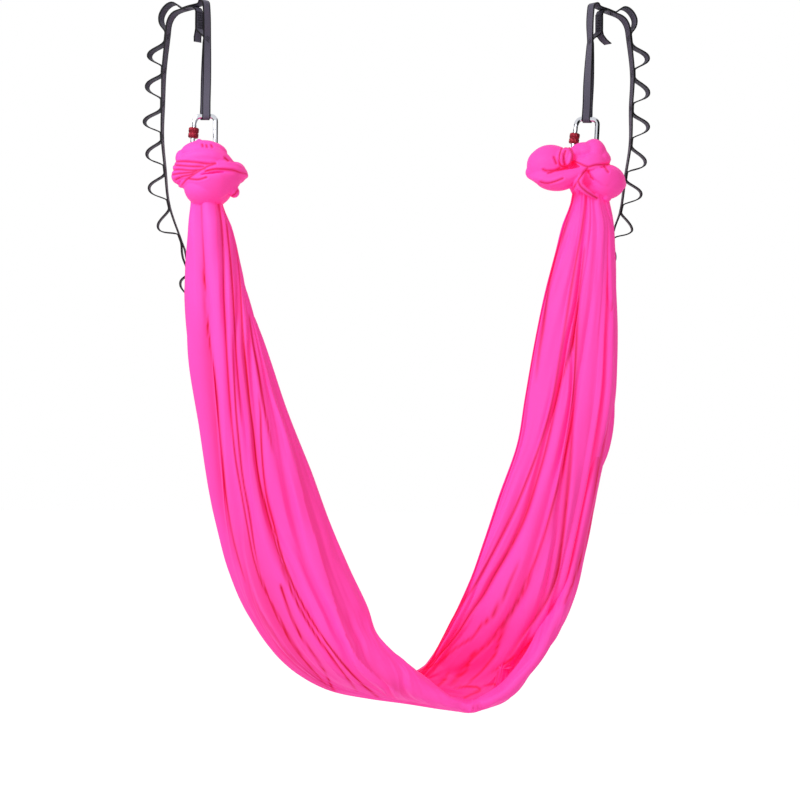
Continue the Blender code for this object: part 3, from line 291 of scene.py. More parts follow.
# Folds pressed into the sling where the photograph shows them: points as pixel and strength,
# then the depth, the widths on the left and the right in pixels, and how much painted shade
# those sides get; a fold of depth 0 is a band of painted shade alone.
# A fold of negative depth is a ridge.
NEAR_FOLDS = [
    ([201, 196, .2, 201.5, 215, .3, 203.8, 257, .6, 205.5, 301, 1, 208.9, 335, .9, 213.2, 366, .4,
      216.3, 393, 0], .008, 2, 1.2, 1, .6),
    ([205.5, 301, 0, 208.9, 335, .5, 213.2, 366, .9, 216.3, 393, 1, 219, 427, 1, 222.4, 460, .9,
      225.7, 494, .8, 230.8, 528, .6, 239.3, 562, .5, 247.7, 589, 0], .016, 8, 1.2, .8, .6),
    # A broad band of painted shade over the lower left, with no depth
    ([228, 440, 0, 240, 510, .5, 252, 560, .9, 268, 605, 1, 290, 645, 1, 322, 684, 1], 0, 24, 13,
      .42, .42),
    ([216.7, 196, .4, 220.3, 215, .5, 223.3, 257, .6, 223.6, 291, .6, 225.5, 330, .7, 228, 375, .7,
      231, 415, .7, 235, 455, .7, 241.6, 494, .7, 247.7, 528, .7, 252.8, 555, .7, 261, 582, .6,
      275, 609, .5, 292, 640, .5, 310, 668, .3, 325, 686, 0], .006, 1.2, 3.5, .4, .35),
    ([232.5, 332, 0, 234.2, 379, .6, 235.9, 410, .8, 239.3, 447, .8, 242.6, 477, .8, 249.4, 514,
      .8, 254.5, 548, .6, 262, 580, 0], .004, 1.2, 2.5, .3, .3),
    ([224, 196, .3, 226, 217, .5, 230.1, 257, .8, 232.8, 291, .9, 234.6, 325, .8, 236.5, 359, .6,
      239.3, 393, .5, 242, 426, 0], .005, 2.5, 1.2, .4, .4),
    ([231, 200, .3, 235.7, 238, .4, 240, 281, .5, 242.6, 332, .8, 246, 366, 1, 250, 406, 1, 252.8,
      427, 1, 256.1, 460, 1, 260.5, 487, .95, 268, 514, .9, 274.7, 541, .8, 281.5, 562, .5, 290,
      585, 0], .01, 4.5, 1.3, .8, .6),
    ([280, 584, 0, 281.5, 589, 1, 286.6, 605, 1, 296.7, 629, 1, 311.9, 653, .9, 325.4, 673, .8,
      334, 692, .6], .008, 1.2, 3.5, .6, .5),
    ([258, 395, 0, 260.5, 413, .5, 261.2, 440, .7, 262.9, 467, .8, 266.3, 494, .9, 273, 521, 1,
      281.5, 555, 1, 291.6, 582, 1, 305.1, 609, 1, 322, 636, 1, 342.3, 663, 1, 362, 684, .8, 378,
      697, .5], .005, 1.1, 3, .45, .35),
    ([278, 545, 0, 281, 562, .5, 286.6, 578.5, .8, 298.4, 605.5, .9, 318.6, 639.3, .9, 338.9,
      666.4, .8, 356, 690, .6], .004, 1.1, 2.5, .35, .3),
    ([249.4, 318, .3, 252.8, 342, .7, 258.5, 372, .9, 262.9, 400, .9, 268, 426, .6, 274, 455, 0],
      .005, 1.5, 4, .5, .5),
    ([243, 275, .3, 250, 310, .4, 257.2, 347, .5, 271.4, 393, .6, 280.5, 416, .6, 291.6, 447, .7,
      306.8, 509, .8, 318.6, 548, .8, 328.8, 582, .8, 338.9, 616, .9, 349.1, 643, 1, 359.2, 660, 1,
      372.7, 673, .9, 394.7, 690, .7, 414, 704, .3], -.005, 8, 12, 0, .45),
    ([241, 540, 0, 246, 565, .6, 251, 585, .8, 258, 605, .9, 268, 622.4, 1, 288.2, 652.8, 1, 315.3,
      676.5, .9, 328.8, 690, .6], -.003, 12, 5, .6, 0),
    ([254.5, 558, 0, 268, 595.4, .7, 281.5, 625.8, .8, 298.4, 652.8, .8, 318.6, 676.5, .6, 330,
      690, .3], .003, 1.1, 2.5, .35, .3),
    ([369.3, 636, .3, 386.2, 652.8, .8, 399.7, 669.7, .9, 418.3, 690, .5, 436, 704, .1], -.0025, 5,
      2, .2, .2),
    ([612.5, 300, 0, 611, 330, .4, 609, 370, .9, 608, 400, 1, 603.5, 440, 1, 598.5, 470, 1, 592,
      515, 1, 582, 555, 1, 574, 580, .7, 565, 603, .3], .0025, 2.5, 2, .9, .8),
]
FAR_FOLDS = [
    ([574, 196, .3, 565.5, 227, .6, 555.4, 257.6, .7, 548.6, 288, .8, 543.6, 325, .8, 539.2, 352,
      .5, 536, 380, 0], .003, 1.1, 2.2, .25, .2),
    ([586.3, 196, .4, 581, 235, .7, 575.3, 263, .7, 567, 315, .6, 559.5, 360, .5, 552.7, 400, .6,
      542.4, 438, .8, 527, 480, .8, 509.3, 521, .9, 490, 558, .9, 475, 585, .8, 460, 606, .7, 444,
      636, .7, 432, 654, .7, 422, 664, .5], .004, 1.8, 1.5, .35, .35),
    ([584, 249, .3, 580, 285, .5, 576.8, 315, .8, 573.5, 340, 1, 566, 365, .7, 559, 388, .7, 547.6,
      442, .8, 537, 480, .9, 525.9, 515, 1, 512, 545, 1, 496.5, 572, .9, 484, 594, .8, 470, 614,
      .8, 456, 636, .8, 440, 654, .8, 426, 668, .5], .009, 2.6, 1.3, 1, .8),
    ([577.5, 307, .6, 576, 350, 1, 573, 400, 1, 568, 438, 1, 561, 475, 1, 552.7, 506, 1, 544, 535,
      1, 534.8, 562, .9, 524, 586, .9, 513, 608, .9, 498, 630, .8, 484, 648, .8, 470.8, 660, .8,
      458, 674, .6, 450, 686, .3], .006, 1.5, 2.2, .6, .8),
    ([573, 400, 0, 572, 430, .6, 570.5, 460, .9, 566.7, 502, 1, 562.5, 540, 1, 557.8, 572, 1, 551,
      592, .9, 541, 610, .7, 531, 624, .6, 520, 640, .5, 510, 656, .3], .011, 3.4, 1.3, 1, .5),
    ([519, 560, 0, 512, 578, .6, 506, 592, .8, 498, 606, .9, 492, 616, 1, 481, 626, 1, 474, 636,
      .7, 456, 648, .7, 436, 664, .7, 422, 670, .4], .004, 1.2, 3, .45, .5),
    ([534, 566, 0, 528, 584, .7, 521, 597, .9, 514, 608, 1, 506, 622, 1, 500, 638, 1, 494, 656, 1,
      480, 672, .9, 472, 680, .7, 464, 688, 0], .005, 1.5, 2.5, .6, .7),
    ([502, 630, .3, 486, 646, .8, 472, 656, 1, 467, 668, 1, 458, 678, .9, 452, 684, .5], .004, 1.2,
      2, .5, .5),
    ([574, 560, .5, 572, 572, .9, 566, 598, 1, 550, 624, 1, 534, 642, 1, 510, 660, .9, 498, 668,
      .6, 486, 676, 0], .004, 1.2, 4, .35, .7),
    ([450, 670, .3, 444, 680, 1, 438, 686, .5], .005, 2, 2, .9, .9),
    ([455, 689, .4, 466, 686.5, 1, 476, 687, 1, 480, 690, .8, 470, 695, .8, 459, 701, .4], .0025,
      1.2, 1.2, .5, .5),
    ([484, 686, .3, 494, 684, .9, 497, 689, .9, 486, 696, .6, 474, 700, .3], .002, 1.2, 1.2, .5,
      .5),
]
# Painted shade lines along those folds' bottoms on the near and the far face: their strength and
# width in pixels
NEAR_SHADE_LINE = (1.2, 1.1)
FAR_SHADE_LINE = (0.85, 1.7)
FOLD_STEPS = 4
FOLD_REACH = 4
FACING_GAIN = 1.6
# Painted shade in the gathers' valleys and in the trough, and how soft shown valleys are
VALLEY_SOFTNESS = 0.45
VALLEY_PAINTED_SHADE = 0.35
TROUGH_PAINTED_SHADE = 0.28
# Sections stand closer together in the trough
STATION_SAMPLES = 2000
TROUGH_CLOSENESS = 3.0
TROUGH_GAIN = 2.5
# Creases of a section and the samples from each to the next
NEAR_CREASES = 8
HIDDEN_CREASES = 5
FAR_CREASES = 6
TURN = NEAR_CREASES + HIDDEN_CREASES
LAST_PHASE = TURN + FAR_CREASES + 2.0
CREASE_PHASES = np.array([*range(TURN + 1), *(TURN + 1.5 + k for k in range(FAR_CREASES)),
                          LAST_PHASE])
SAMPLES = [18] * (NEAR_CREASES + 1) + [9] * HIDDEN_CREASES + [16] * (FAR_CREASES + 1)
# Where creases may lie, in steps from place to place of a section
LAST_PLACE = 8.0
FAR_SPAN = 3.2
RIGHT_FAR_SPAN = 1.8
TUCK_STEP = 0.3
TUCKED_LEAST = (0.15, 1.2)
HIDDEN_RUN = (0.35, 0.6)
HIDDEN_FLATTENING = 0.8
# Room that the gathers need inside the outlines, and the shape of their lobes
INSET_LIMIT = 0.42
NEAR_INSET_SHARE = 0.4
FAR_RIM_SHARE = 0.75
OVERHANG_SHARE = 0.30
LOBE_POWER = 0.85
RIM_SOFTNESS = 0.8
HIDDEN_DEEPENING = 2.6
HIDDEN_WIDTH = 1.6
FINE_SPREAD = 0.025
LIMB_RIPPLE = 0.15
# Creases over which the fold depth and the way that lobes stand change from near to far face
FOLD_CHANGE = 3
LOBE_CHANGE = 1.5
# Rims where the lobes are held low: how much, at which place of a section, how wide
RIMS = ((1.0, 2, 0.4), (0.7, 4, 0.5))
# Random waves in the cloth: size, how close along and across it, and their seed
DEPTH_RIPPLE = (0.18, 0.9, 2.1, 3)
DRIFT_RIPPLE = (0.06, 1.1, 1.3, 5)
FINE_RIPPLE = (0.0012, 2.2, 9.0, 11)
TROUGH_RIPPLE = (0.0020, 0.9, 16.0, 17)
KNOT_SEED = 21
WANDER_WAVES = 7
WANDER_CLOSENESS = 1.7


def sling_places(stations):
    """The nine places of every section, with its row, fold depths and kind."""
    table = SLING_ROWS
    middles = (table[:, 0:2] + table[:, 2:4] + table[:, 4:6]) / 3
    knots = np.append(0.0, np.cumsum(np.linalg.norm(np.diff(middles, axis=0), axis=1)))
    fine = np.linspace(0, knots[-1], STATION_SAMPLES)
    trough = np.interp(fine, knots, np.minimum(1, TROUGH_GAIN * table[:, 9]))
    closeness = 1 + TROUGH_CLOSENESS * trough
    count = np.append(0.0, np.cumsum((closeness[1:] + closeness[:-1]) / 2))
    places = np.interp(np.linspace(0, count[-1], stations), count, fine)
    row = np.interp(places, knots, np.arange(len(table)))
    values = through(knots, table, places)
    outer, near, far = values[:, 0:2], values[:, 2:4], values[:, 4:6]
    half, near_fold, far_fold = (values[:, k:k + 1] for k in (6, 7, 8))
    trough, right = (np.clip(values[:, k:k + 1], 0, 1) for k in (9, 10))
    past_limb = np.clip(trough + right, 0, 1)
    wide = np.linalg.norm(near - outer, axis=1, keepdims=True)
    inset = np.minimum(near_fold / PIXEL, INSET_LIMIT * wide)
    to_near = (near - outer) / wide
    to_far = unit(far - outer)
    lean = to_near * (1 - right) + to_far * right
    outer = outer + lean * (inset * (NEAR_INSET_SHARE + (1 - NEAR_INSET_SHARE) * past_limb))
    near = near - to_near * (NEAR_INSET_SHARE * inset * (1 - right))
    far = far - to_far * (far_fold / PIXEL * (1 - FAR_RIM_SHARE * past_limb))
    shares = ((1 - trough - right)[..., None] * LIMB_SHARES + trough[..., None] * TROUGH_SHARES
              + right[..., None] * RIGHT_SHARES)
    pixels = (outer[:, None] + shares[..., 0:1] * (near - outer)[:, None]
              + shares[..., 1:2] * (far - outer)[:, None])
    return row, seen(pixels, shares[..., 2] * half), near_fold, far_fold, trough, right


def at_rows(table, row):
    """A table's values between its rows, whose first number is the section row."""
    return through(table[:, 0], table[:, 1:], row, True)


def crease_places(row, right):
    """Where every crease lies along each section, in steps from place to place."""
    near = at_rows(NEAR_CREASE_SHARES, row)
    near = np.where(near > 1, 2 - (near - 1) / TUCK_STEP, 4 - 2 * near)
    near = np.maximum(near, np.linspace(*TUCKED_LEAST, NEAR_CREASES))
    span = FAR_SPAN + (RIGHT_FAR_SPAN - FAR_SPAN) * right
    far = LAST_PLACE - span * at_rows(FAR_CREASE_SHARES, row)
    start, run = HIDDEN_RUN
    steps = start + run * np.arange(1, HIDDEN_CREASES + 1) / (HIDDEN_CREASES + 1)
    hidden = near[:, -1:] + (far[:, :1] - near[:, -1:]) * steps
    ends = np.ones((len(row), 1))
    return np.hstack([0 * ends, near, hidden, far, LAST_PLACE * ends])


def crease_openness(row, phase, trough):
    """How far each crease is folded in (1) or lies flat (0), from the tables of its rows."""
    hidden = np.repeat(1 - HIDDEN_FLATTENING * trough, HIDDEN_CREASES, axis=1)
    ends = np.ones((len(row), 1))
    every = np.hstack([ends, at_rows(NEAR_OPEN_SHARES, row), hidden,
                       at_rows(FAR_OPEN_SHARES, row), ends])
    index = np.clip(np.searchsorted(CREASE_PHASES, phase) - 1, 0, len(CREASE_PHASES) - 2)
    start, end = CREASE_PHASES[index], CREASE_PHASES[index + 1]
    t = np.clip((phase - start) / (end - start), 0, 1)
    t = t * t * (3 - 2 * t)
    return every[:, index] * (1 - t) + every[:, index + 1] * t


def spline_points(controls, places):
    """Points of each section's Catmull-Rom curve at its own places."""
    padded = np.hstack([2 * controls[:, :1] - controls[:, 1:2], controls,
                        2 * controls[:, -1:] - controls[:, -2:-1]])
    places = np.clip(places, 0, LAST_PLACE)
    index = np.clip(np.floor(places).astype(int), 0, controls.shape[1] - 2)
    rows = np.arange(len(controls))[:, None]
    return catmull_rom(*(padded[rows, index + k] for k in range(4)), (places - index)[..., None])


def wander(x, y, seed):
    """A smooth random field of about unit size, the same each run."""
    draw = np.random.default_rng(seed)
    total = np.zeros(np.broadcast(x, y).shape)
    for _ in range(WANDER_WAVES):
        angle, phase = draw.uniform(0, 2 * pi, 2)
        total += np.cos(x * cos(angle) * WANDER_CLOSENESS + y * sin(angle) * WANDER_CLOSENESS
                        + phase)
    return total / 3.0


def line_distance(spots, line):
    """Each pixel's distance to a line, its side (right over 0) and the line's last value there."""
    nearest = np.full(len(spots), FAR_AWAY)
    side, value = np.zeros((2, len(spots)))
    for start, end in zip(line, line[1:]):
        run = end[:2] - start[:2]
        offset = spots - start[:2]
        share = np.clip(offset @ run / (run @ run), 0, 1)
        gap = np.linalg.norm(offset - share[:, None] * run, axis=1)
        nearer = gap < nearest
        nearest = np.where(nearer, gap, nearest)
        side = np.where(nearer, run[1] * offset[:, 0] - run[0] * offset[:, 1], side)
        value = np.where(nearer, start[-1] + share * (end[-1] - start[-1]), value)
    return nearest, side, value


def fold_presses(pixels, folds, line_shade, line_width):
    """How far the pressed folds push every pixel in, and how much painted shade they give it."""
    depth, red = np.zeros((2, len(pixels)))
    for points, deepest, left, right, left_shade, right_shade in folds:
        line = smooth_line(rows_of(3, *points), FOLD_STEPS, True)
        reach = FOLD_REACH * max(left, right)
        close = np.flatnonzero(((pixels > line[:, :2].min(axis=0) - reach)
                                & (pixels < line[:, :2].max(axis=0) + reach)).all(axis=1))
        nearest, side, strength = line_distance(pixels[close], line)
        strength = np.clip(strength, 0, 1)
        press = np.exp(-nearest / np.where(side > 0, right, left)) * strength
        depth[close] += deepest * press
        # Painted shade on each side of the fold, and a painted dark-red line of shade along the
        # bottom of a fold pressed in
        red[close] = np.maximum(red[close], np.where(side > 0, right_shade, left_shade) * press)
        if deepest > 0:
            sharp = line_shade * bell(nearest, 0, line_width) * strength ** 0.5
            red[close] = np.maximum(red[close], sharp)
    return depth, red


def sling_points(stations):
    """The gathered cloth's surface, and how much painted shade each point gets in its folds."""
    row, controls, near_fold, far_fold, trough, right = sling_places(stations)
    phase = np.concatenate([i + np.arange(n) / n for i, n in enumerate(SAMPLES)] + [[LAST_PHASE]])
    places = np.array([through(CREASE_PHASES, line, phase, True)[:, 0]
                       for line in crease_places(row, right)])

    def ripple(size, along, across, seed):
        return size * wander(row[:, None] * along, phase * across, seed)

    side = np.clip((phase - NEAR_CREASES) / FOLD_CHANGE, 0, 1)
    depth = (near_fold * (1 - side) + far_fold * side) * (1 + ripple(*DEPTH_RIPPLE))
    wave = 2 * pi * (phase + ripple(*DRIFT_RIPPLE))
    shown_near = np.clip(NEAR_CREASES + 1.5 - phase, 0, 1)
    shown_far = np.clip(phase - TURN, 0, 1) * np.clip(trough + right, 0, 1)
    opened = crease_openness(row, phase, trough)
    opened = opened * (1 - (1 - VALLEY_SOFTNESS) * np.maximum(shown_near, shown_far))
    base = spline_points(controls, places)
    across = np.gradient(base, phase, axis=1)
    normal = unit(np.cross(across, np.gradient(base, axis=0)))
    inside = np.clip((phase - NEAR_CREASES - 0.5) / LOBE_CHANGE, 0, 1)
    near_lobe, far_lobe = (1 - 2 * opened * (1 - np.abs(turn(wave / 2)) ** LOBE_POWER)
                           for turn in (np.sin, np.cos))
    lift = depth * (near_lobe * (1 - inside) - far_lobe * inside)
    rims = sum(height * bell(places, place, width) for height, place, width in RIMS)
    rims = np.clip(rims, 0, 1)
    lift = lift * (1 - RIM_SOFTNESS * rims * (1 - right))
    hidden = bell(phase, NEAR_CREASES + 1 + HIDDEN_CREASES / 2, HIDDEN_WIDTH)
    limbs = np.clip(1 - TROUGH_GAIN * trough, 0, 1)
    lift = lift * (1 + HIDDEN_DEEPENING * hidden * limbs * (lift < 0))
    fine = ripple(*FINE_RIPPLE) + np.abs(ripple(*TROUGH_RIPPLE)) * (LIMB_RIPPLE + trough)
    fine = fine * np.clip(np.linalg.norm(across, axis=2) / FINE_SPREAD, 0, 1) ** 2
    width = np.gradient(places, phase, axis=1)
    over = places + OVERHANG_SHARE * width * np.sin(2 * wave) * opened ** 2
    points = spline_points(controls, over) + normal * (lift + fine)[..., None]
    faced = np.where(side > 0.5, -np.cos(wave), np.cos(wave))
    far_face = phase > TURN + 0.5
    # Painted shade in the gathers' shown valleys and on the trough's far face
    red = np.maximum(VALLEY_PAINTED_SHADE * np.clip(faced, 0, 1) ** 2 * opened,
                     TROUGH_PAINTED_SHADE * trough * far_face)
    return press_folds(points, red, phase < NEAR_CREASES + 1, far_face)


def press_folds(points, red, near, far):
    """Press the photograph's folds into the two faces of the cloth that it shows, and paint shade
    along them.
    """
    normal = unit(np.cross(np.gradient(points, axis=1), np.gradient(points, axis=0)))
    sight = unit(points - np.array(EYE))
    facing = np.clip(FACING_GAIN * np.abs((normal * sight).sum(axis=2)), 0, 1)
    for face, folds, line in ((near, NEAR_FOLDS, NEAR_SHADE_LINE), (far, FAR_FOLDS, FAR_SHADE_LINE)):
        places = points[:, face]
        depth, pressed_shade = (values.reshape(places.shape[:2]) for values in
                          fold_presses(pixels_of(places.reshape(-1, 3)), folds, *line))
        points[:, face] = places + sight[:, face] * (depth * facing[:, face])[..., None]
        # Painted shade along the pressed folds, weaker where the cloth turns away from the
        # camera's side
        red[:, face] = np.maximum(red[:, face], pressed_shade * facing[:, face] ** 1.5)
    return points, red


def mesh_arrays(mesh):
    """Vertex places and normals of a mesh."""
    places, normals = np.empty((2, len(mesh.vertices) * 3))
    mesh.vertices.foreach_get("co", places)
    mesh.vertex_normals.foreach_get("vector", normals)
    return places.reshape(-1, 3), normals.reshape(-1, 3)


def set_attribute(mesh, name, values):
    """A number or a vector at each vertex that materials and Geometry Nodes can read."""
    values = np.array(values, dtype=np.float32)
    kind, field = ("FLOAT", "value") if values.ndim == 1 else ("FLOAT_VECTOR", "vector")
    mesh.attributes.new(name, kind, "POINT").data.foreach_set(field, values.ravel())


def link_new(name, data):
    """A new object in the scene."""
    obj = bpy.data.objects.new(name, data)
    bpy.context.scene.collection.objects.link(obj)
    return obj


def bake_modifiers(obj):
    """Turn an object's evaluated shape into its plain mesh and drop the modifiers."""
    bpy.context.view_layer.update()
    evaluated = obj.evaluated_get(bpy.context.evaluated_depsgraph_get())
    mesh = bpy.data.meshes.new_from_object(evaluated)
    obj.modifiers.clear()
    obj.data = mesh


def mesh_of(name, bm, sharp=None):
    """A mesh with its faces turned outwards, smooth up to a sharp angle where one is given."""
    bmesh.ops.recalc_face_normals(bm, faces=bm.faces)
    mesh = bpy.data.meshes.new(name)
    bm.to_mesh(mesh)
    bm.free()
    if sharp:
        mesh.shade_smooth()
        mesh.set_sharp_from_angle(angle=radians(sharp))
    return mesh


def ring_skin(bm, rings, capped=True):
    """Join closed rings of equal counts into a skin, capped or closed on itself."""
    rows = [[bm.verts.new(point) for point in ring] for ring in rings]
    for low, high in zip(rows, rows[1:] if capped else rows[1:] + rows[:1]):
        for i in range(len(low)):
            j = (i + 1) % len(low)
            bm.faces.new((low[i], low[j], high[j], high[i]))
    if capped:
        bm.faces.new(rows[0][::-1])
        bm.faces.new(rows[-1])
    return rows


# Knots: the middle's pixel; the neck's pixel and half width; lobes as pixel, depth, half width
# and half height in pixels and half depth; bands as points of pixel and depth, with half width
# and half thickness in pixels and the ridges along them; and fold lines as pixels.
KNOTS = {
    "left": (
        (209, 173), (207, 207, 15.5),
        [208, 174, 0, 31, 24, .058, 204, 153, -.012, 23, 12, .048, 208, 190, -.01, 23.5, 17.5,
         .062, 180, 176, -.012, 8, 8, .03, 181.5, 158, -.012, 6, 8, .022, 234, 192, -.022, 5.5, 6,
         .018, 236, 173, -.005, 11, 11, .04, 199, 142.5, -.03, 3, 3.5, .01, 207, 145.5, -.024, 6,
         4.5, .016, 215, 147.5, -.016, 5, 4.5, .016, 190, 149, -.03, 4.5, 6, .014],
        [([177, 171, .02, 180, 163, -.03, 196, 156, -.056, 215, 156, -.056, 230, 165, -.032, 236,
           171, .01], 9.5, 6, 2),
         ([174, 167, .012, 177, 168, -.026, 190, 168.5, -.052, 206, 167, -.06, 222, 162, -.046],
           5.5, 4, 3),
         ([173, 173, .012, 178, 174, -.026, 188, 174, -.05, 198, 172, -.058, 212, 166, -.054], 4.5,
           3.6, 3),
         ([180, 186, -.006, 186, 182, -.04, 196, 175.5, -.058, 210, 169, -.066, 226, 167.5, -.058,
           239, 170.5, -.034, 245, 175, .004, 236, 177, .042, 208, 178, .058], 5.6, 4.4, 2),
         ([187, 187, 0, 192, 186, -.04, 206, 187, -.062, 222, 185, -.058, 236, 181, -.032, 241,
           177, .01], 12.5, 5, 1)],
        [[174.4, 161.6, 185.9, 161.6, 198.1, 162.7, 207.3, 163.9, 215.4, 163.1], [173.7, 165,
         182.8, 165.8, 193.6, 166.6, 203.5, 166.6], [172.1, 170, 179.8, 169.6, 189, 170.4, 198.1,
         170, 205, 168.5], [172.9, 174.6, 179.8, 173.5, 189, 172.7, 196.6, 171.2], [176, 179.6,
         182.8, 176.5, 189, 175.4, 193.6, 173.5], [181.8, 185.2, 185.9, 180.3, 189, 178, 195.1,
         173.5, 202.7, 168.9, 208.9, 165.8, 215.7, 163.5], [189, 178.8, 198.1, 179.6, 206.6,
         177.3], [205.8, 171.2, 216.5, 169.2, 231.8, 170, 239.5, 172.3, 246.3, 173.8], [224.8,
         157.8, 228.2, 160.8], [202.4, 144.4, 203, 146.4], [206.6, 145.2, 207.2, 147], [211.6,
         145.4, 212.4, 147.2], [230.3, 197.2, 234.9, 194.1, 237.6, 190.3]],
    ),
    "right": (
        (580, 172), (588, 205, 15.5),
        [587, 175, 0, 22, 18, .052, 585, 154, -.008, 16, 11, .046, 576, 155, -.01, 11, 8, .04, 590,
         191, -.004, 14, 10, .042, 550, 166, -.006, 23, 21, .05, 536, 172, -.004, 10, 8, .026,
         593.5, 156.5, -.008, 13, 17.5, .05, 600, 161, -.01, 10, 11, .044, 605, 182, -.016, 20,
         17.5, .052, 566, 157, -.044, 6.5, 10, .016, 556, 180, -.008, 20, 11, .04, 606, 196, -.02,
         6, 7, .022],
        [([528, 175, -.004, 538, 178, -.034, 556, 180, -.05, 572, 175, -.056, 584, 169, -.056],
           7.5, 4.5, 2),
         ([562, 147, -.034, 560.5, 156, -.058, 563, 165, -.058], 2.6, 2.8, 0),
         ([569, 147, -.034, 571.5, 156, -.056, 568, 165, -.058], 2.6, 2.8, 0),
         ([573, 158, -.04, 586, 162, -.056, 600, 160, -.052, 610, 158, -.02], 7.5, 4, 1),
         ([589, 166, -.04, 582, 176, -.06, 580, 185, -.06, 590, 194, -.052, 602, 201, -.034], 3.2,
           3.2, 0),
         ([585, 168, -.05, 579, 178, -.054, 577, 187, -.046, 578, 193, -.03], 3.6, 3.6, 1),
         ([590, 172, -.052, 604, 176, -.064, 618, 182, -.044, 625, 186, 0], 9, 4.5, 1)],
        [[543.2, 169.5, 546.8, 170.8, 557.5, 170.4, 567.3, 167.7], [540.5, 182, 546.8, 183.3,
         553.9, 182, 562.9, 178.4], [584, 172, 578.9, 179.3, 573.6, 188.2], [572.7, 160.5, 578.9,
         163.2, 587.9, 166.8, 595.9, 165, 610.3, 164.1], [587.9, 167.7, 581.6, 175.7, 578.5, 180.2,
         580.7, 186.4, 587.9, 192.7, 596.8, 198, 605.7, 203.4], [587.9, 170.4, 590.5, 175.7, 593.2,
         179.3], [603.9, 165.9, 608.4, 172.1], [561.1, 148.9, 559.3, 157, 560.2, 164.1, 563.8,
         166.8, 570, 164.1, 572.7, 156.1, 570.9, 148.9, 566.4, 147.1, 561.1, 148.9], [565.5, 150.7,
         563.8, 157.9, 564.6, 165], [554, 157, 556.5, 163.5], [560, 168, 552, 172, 548, 173]],
    ),
}
KNOT_VOXEL = 0.0021
NECK_LENGTH = 28
NECK_DEPTH = 0.034
BAND_STEPS = 10
BAND_SIDES = 48
BAND_RIDGE = 0.10
LINE_STEPS = 6
FOLD_LINE_DEPTH = 0.0030
FOLD_LINE_WIDTH = 1.05
FOLD_LINE_SWELL = 0.0006
FOLD_LINE_PAINTED_SHADE = 0.85
FOLD_LINE_SIDE = 2.4
KNOT_RIPPLE = 0.0013
KNOT_RIPPLE_FRONT = 0.25
KNOT_SIZE = 0.03
NECK_RINGS = 5
NECK_SIDES = 40
NECK_SWELL = (0.72, 0.07)
BAND_TAPER = (0.35, 1.6)
BAND_TWIST = 0.03


def add_lobe(bm, x, y, depth, half_width, half_height, half_depth):
    """One soft lump of the knot, sized in pixels across and up."""
    size = Matrix.Diagonal((half_width * PIXEL, half_depth, half_height * PIXEL)).to_4x4()
    bmesh.ops.create_uvsphere(bm, u_segments=40, v_segments=24, radius=1.0,
                              matrix=Matrix.Translation(seen((x, y), depth)) @ size)


def add_band(bm, centre, points, half_width, half_thickness, ridges):
    """One strand of gathered cloth laid over the knot, ridged along its run."""
    table = rows_of(3, *points)
    line = smooth_line(seen(table[:, :2], table[:, 2]), BAND_STEPS)
    tangents = unit(np.gradient(line, axis=0))
    last = len(line) - 1
    rings = []
    for i, (place, along) in enumerate(zip(line, tangents)):
        wide = unit(np.cross(along, place - centre))
        up = np.cross(wide, along)
        end = min(1.0, BAND_TAPER[0] + BAND_TAPER[1] * min(i, last - i) / len(line))
        ring = []
        for angle in (2 * pi * k / BAND_SIDES for k in range(BAND_SIDES)):
            swell = 1 + (BAND_RIDGE * cos(2 * ridges * angle + i * BAND_TWIST) if ridges else 0.0)
            ring.append(place + (wide * half_width * cos(angle) + up * half_thickness * sin(angle))
                        * PIXEL * swell * end)
        rings.append(ring)
    ring_skin(bm, rings)


def facing_lines(mesh, lines):
    """Vertex places and normals, how near each is seen to a fold line, and how it faces us."""
    places, normals = mesh_arrays(mesh)
    pixels = pixels_of(places)
    distance = np.min([line_distance(pixels, smooth_line(rows_of(2, *line), LINE_STEPS))[0]
                       for line in lines], axis=0)
    return places, normals, distance, np.clip(-normals[:, 1] * FACING_GAIN, 0, 1)


def add_modifier(obj, kind, **settings):
    modifier = obj.modifiers.new(kind.lower(), kind)
    for name, value in settings.items():
        setattr(modifier, name, value)


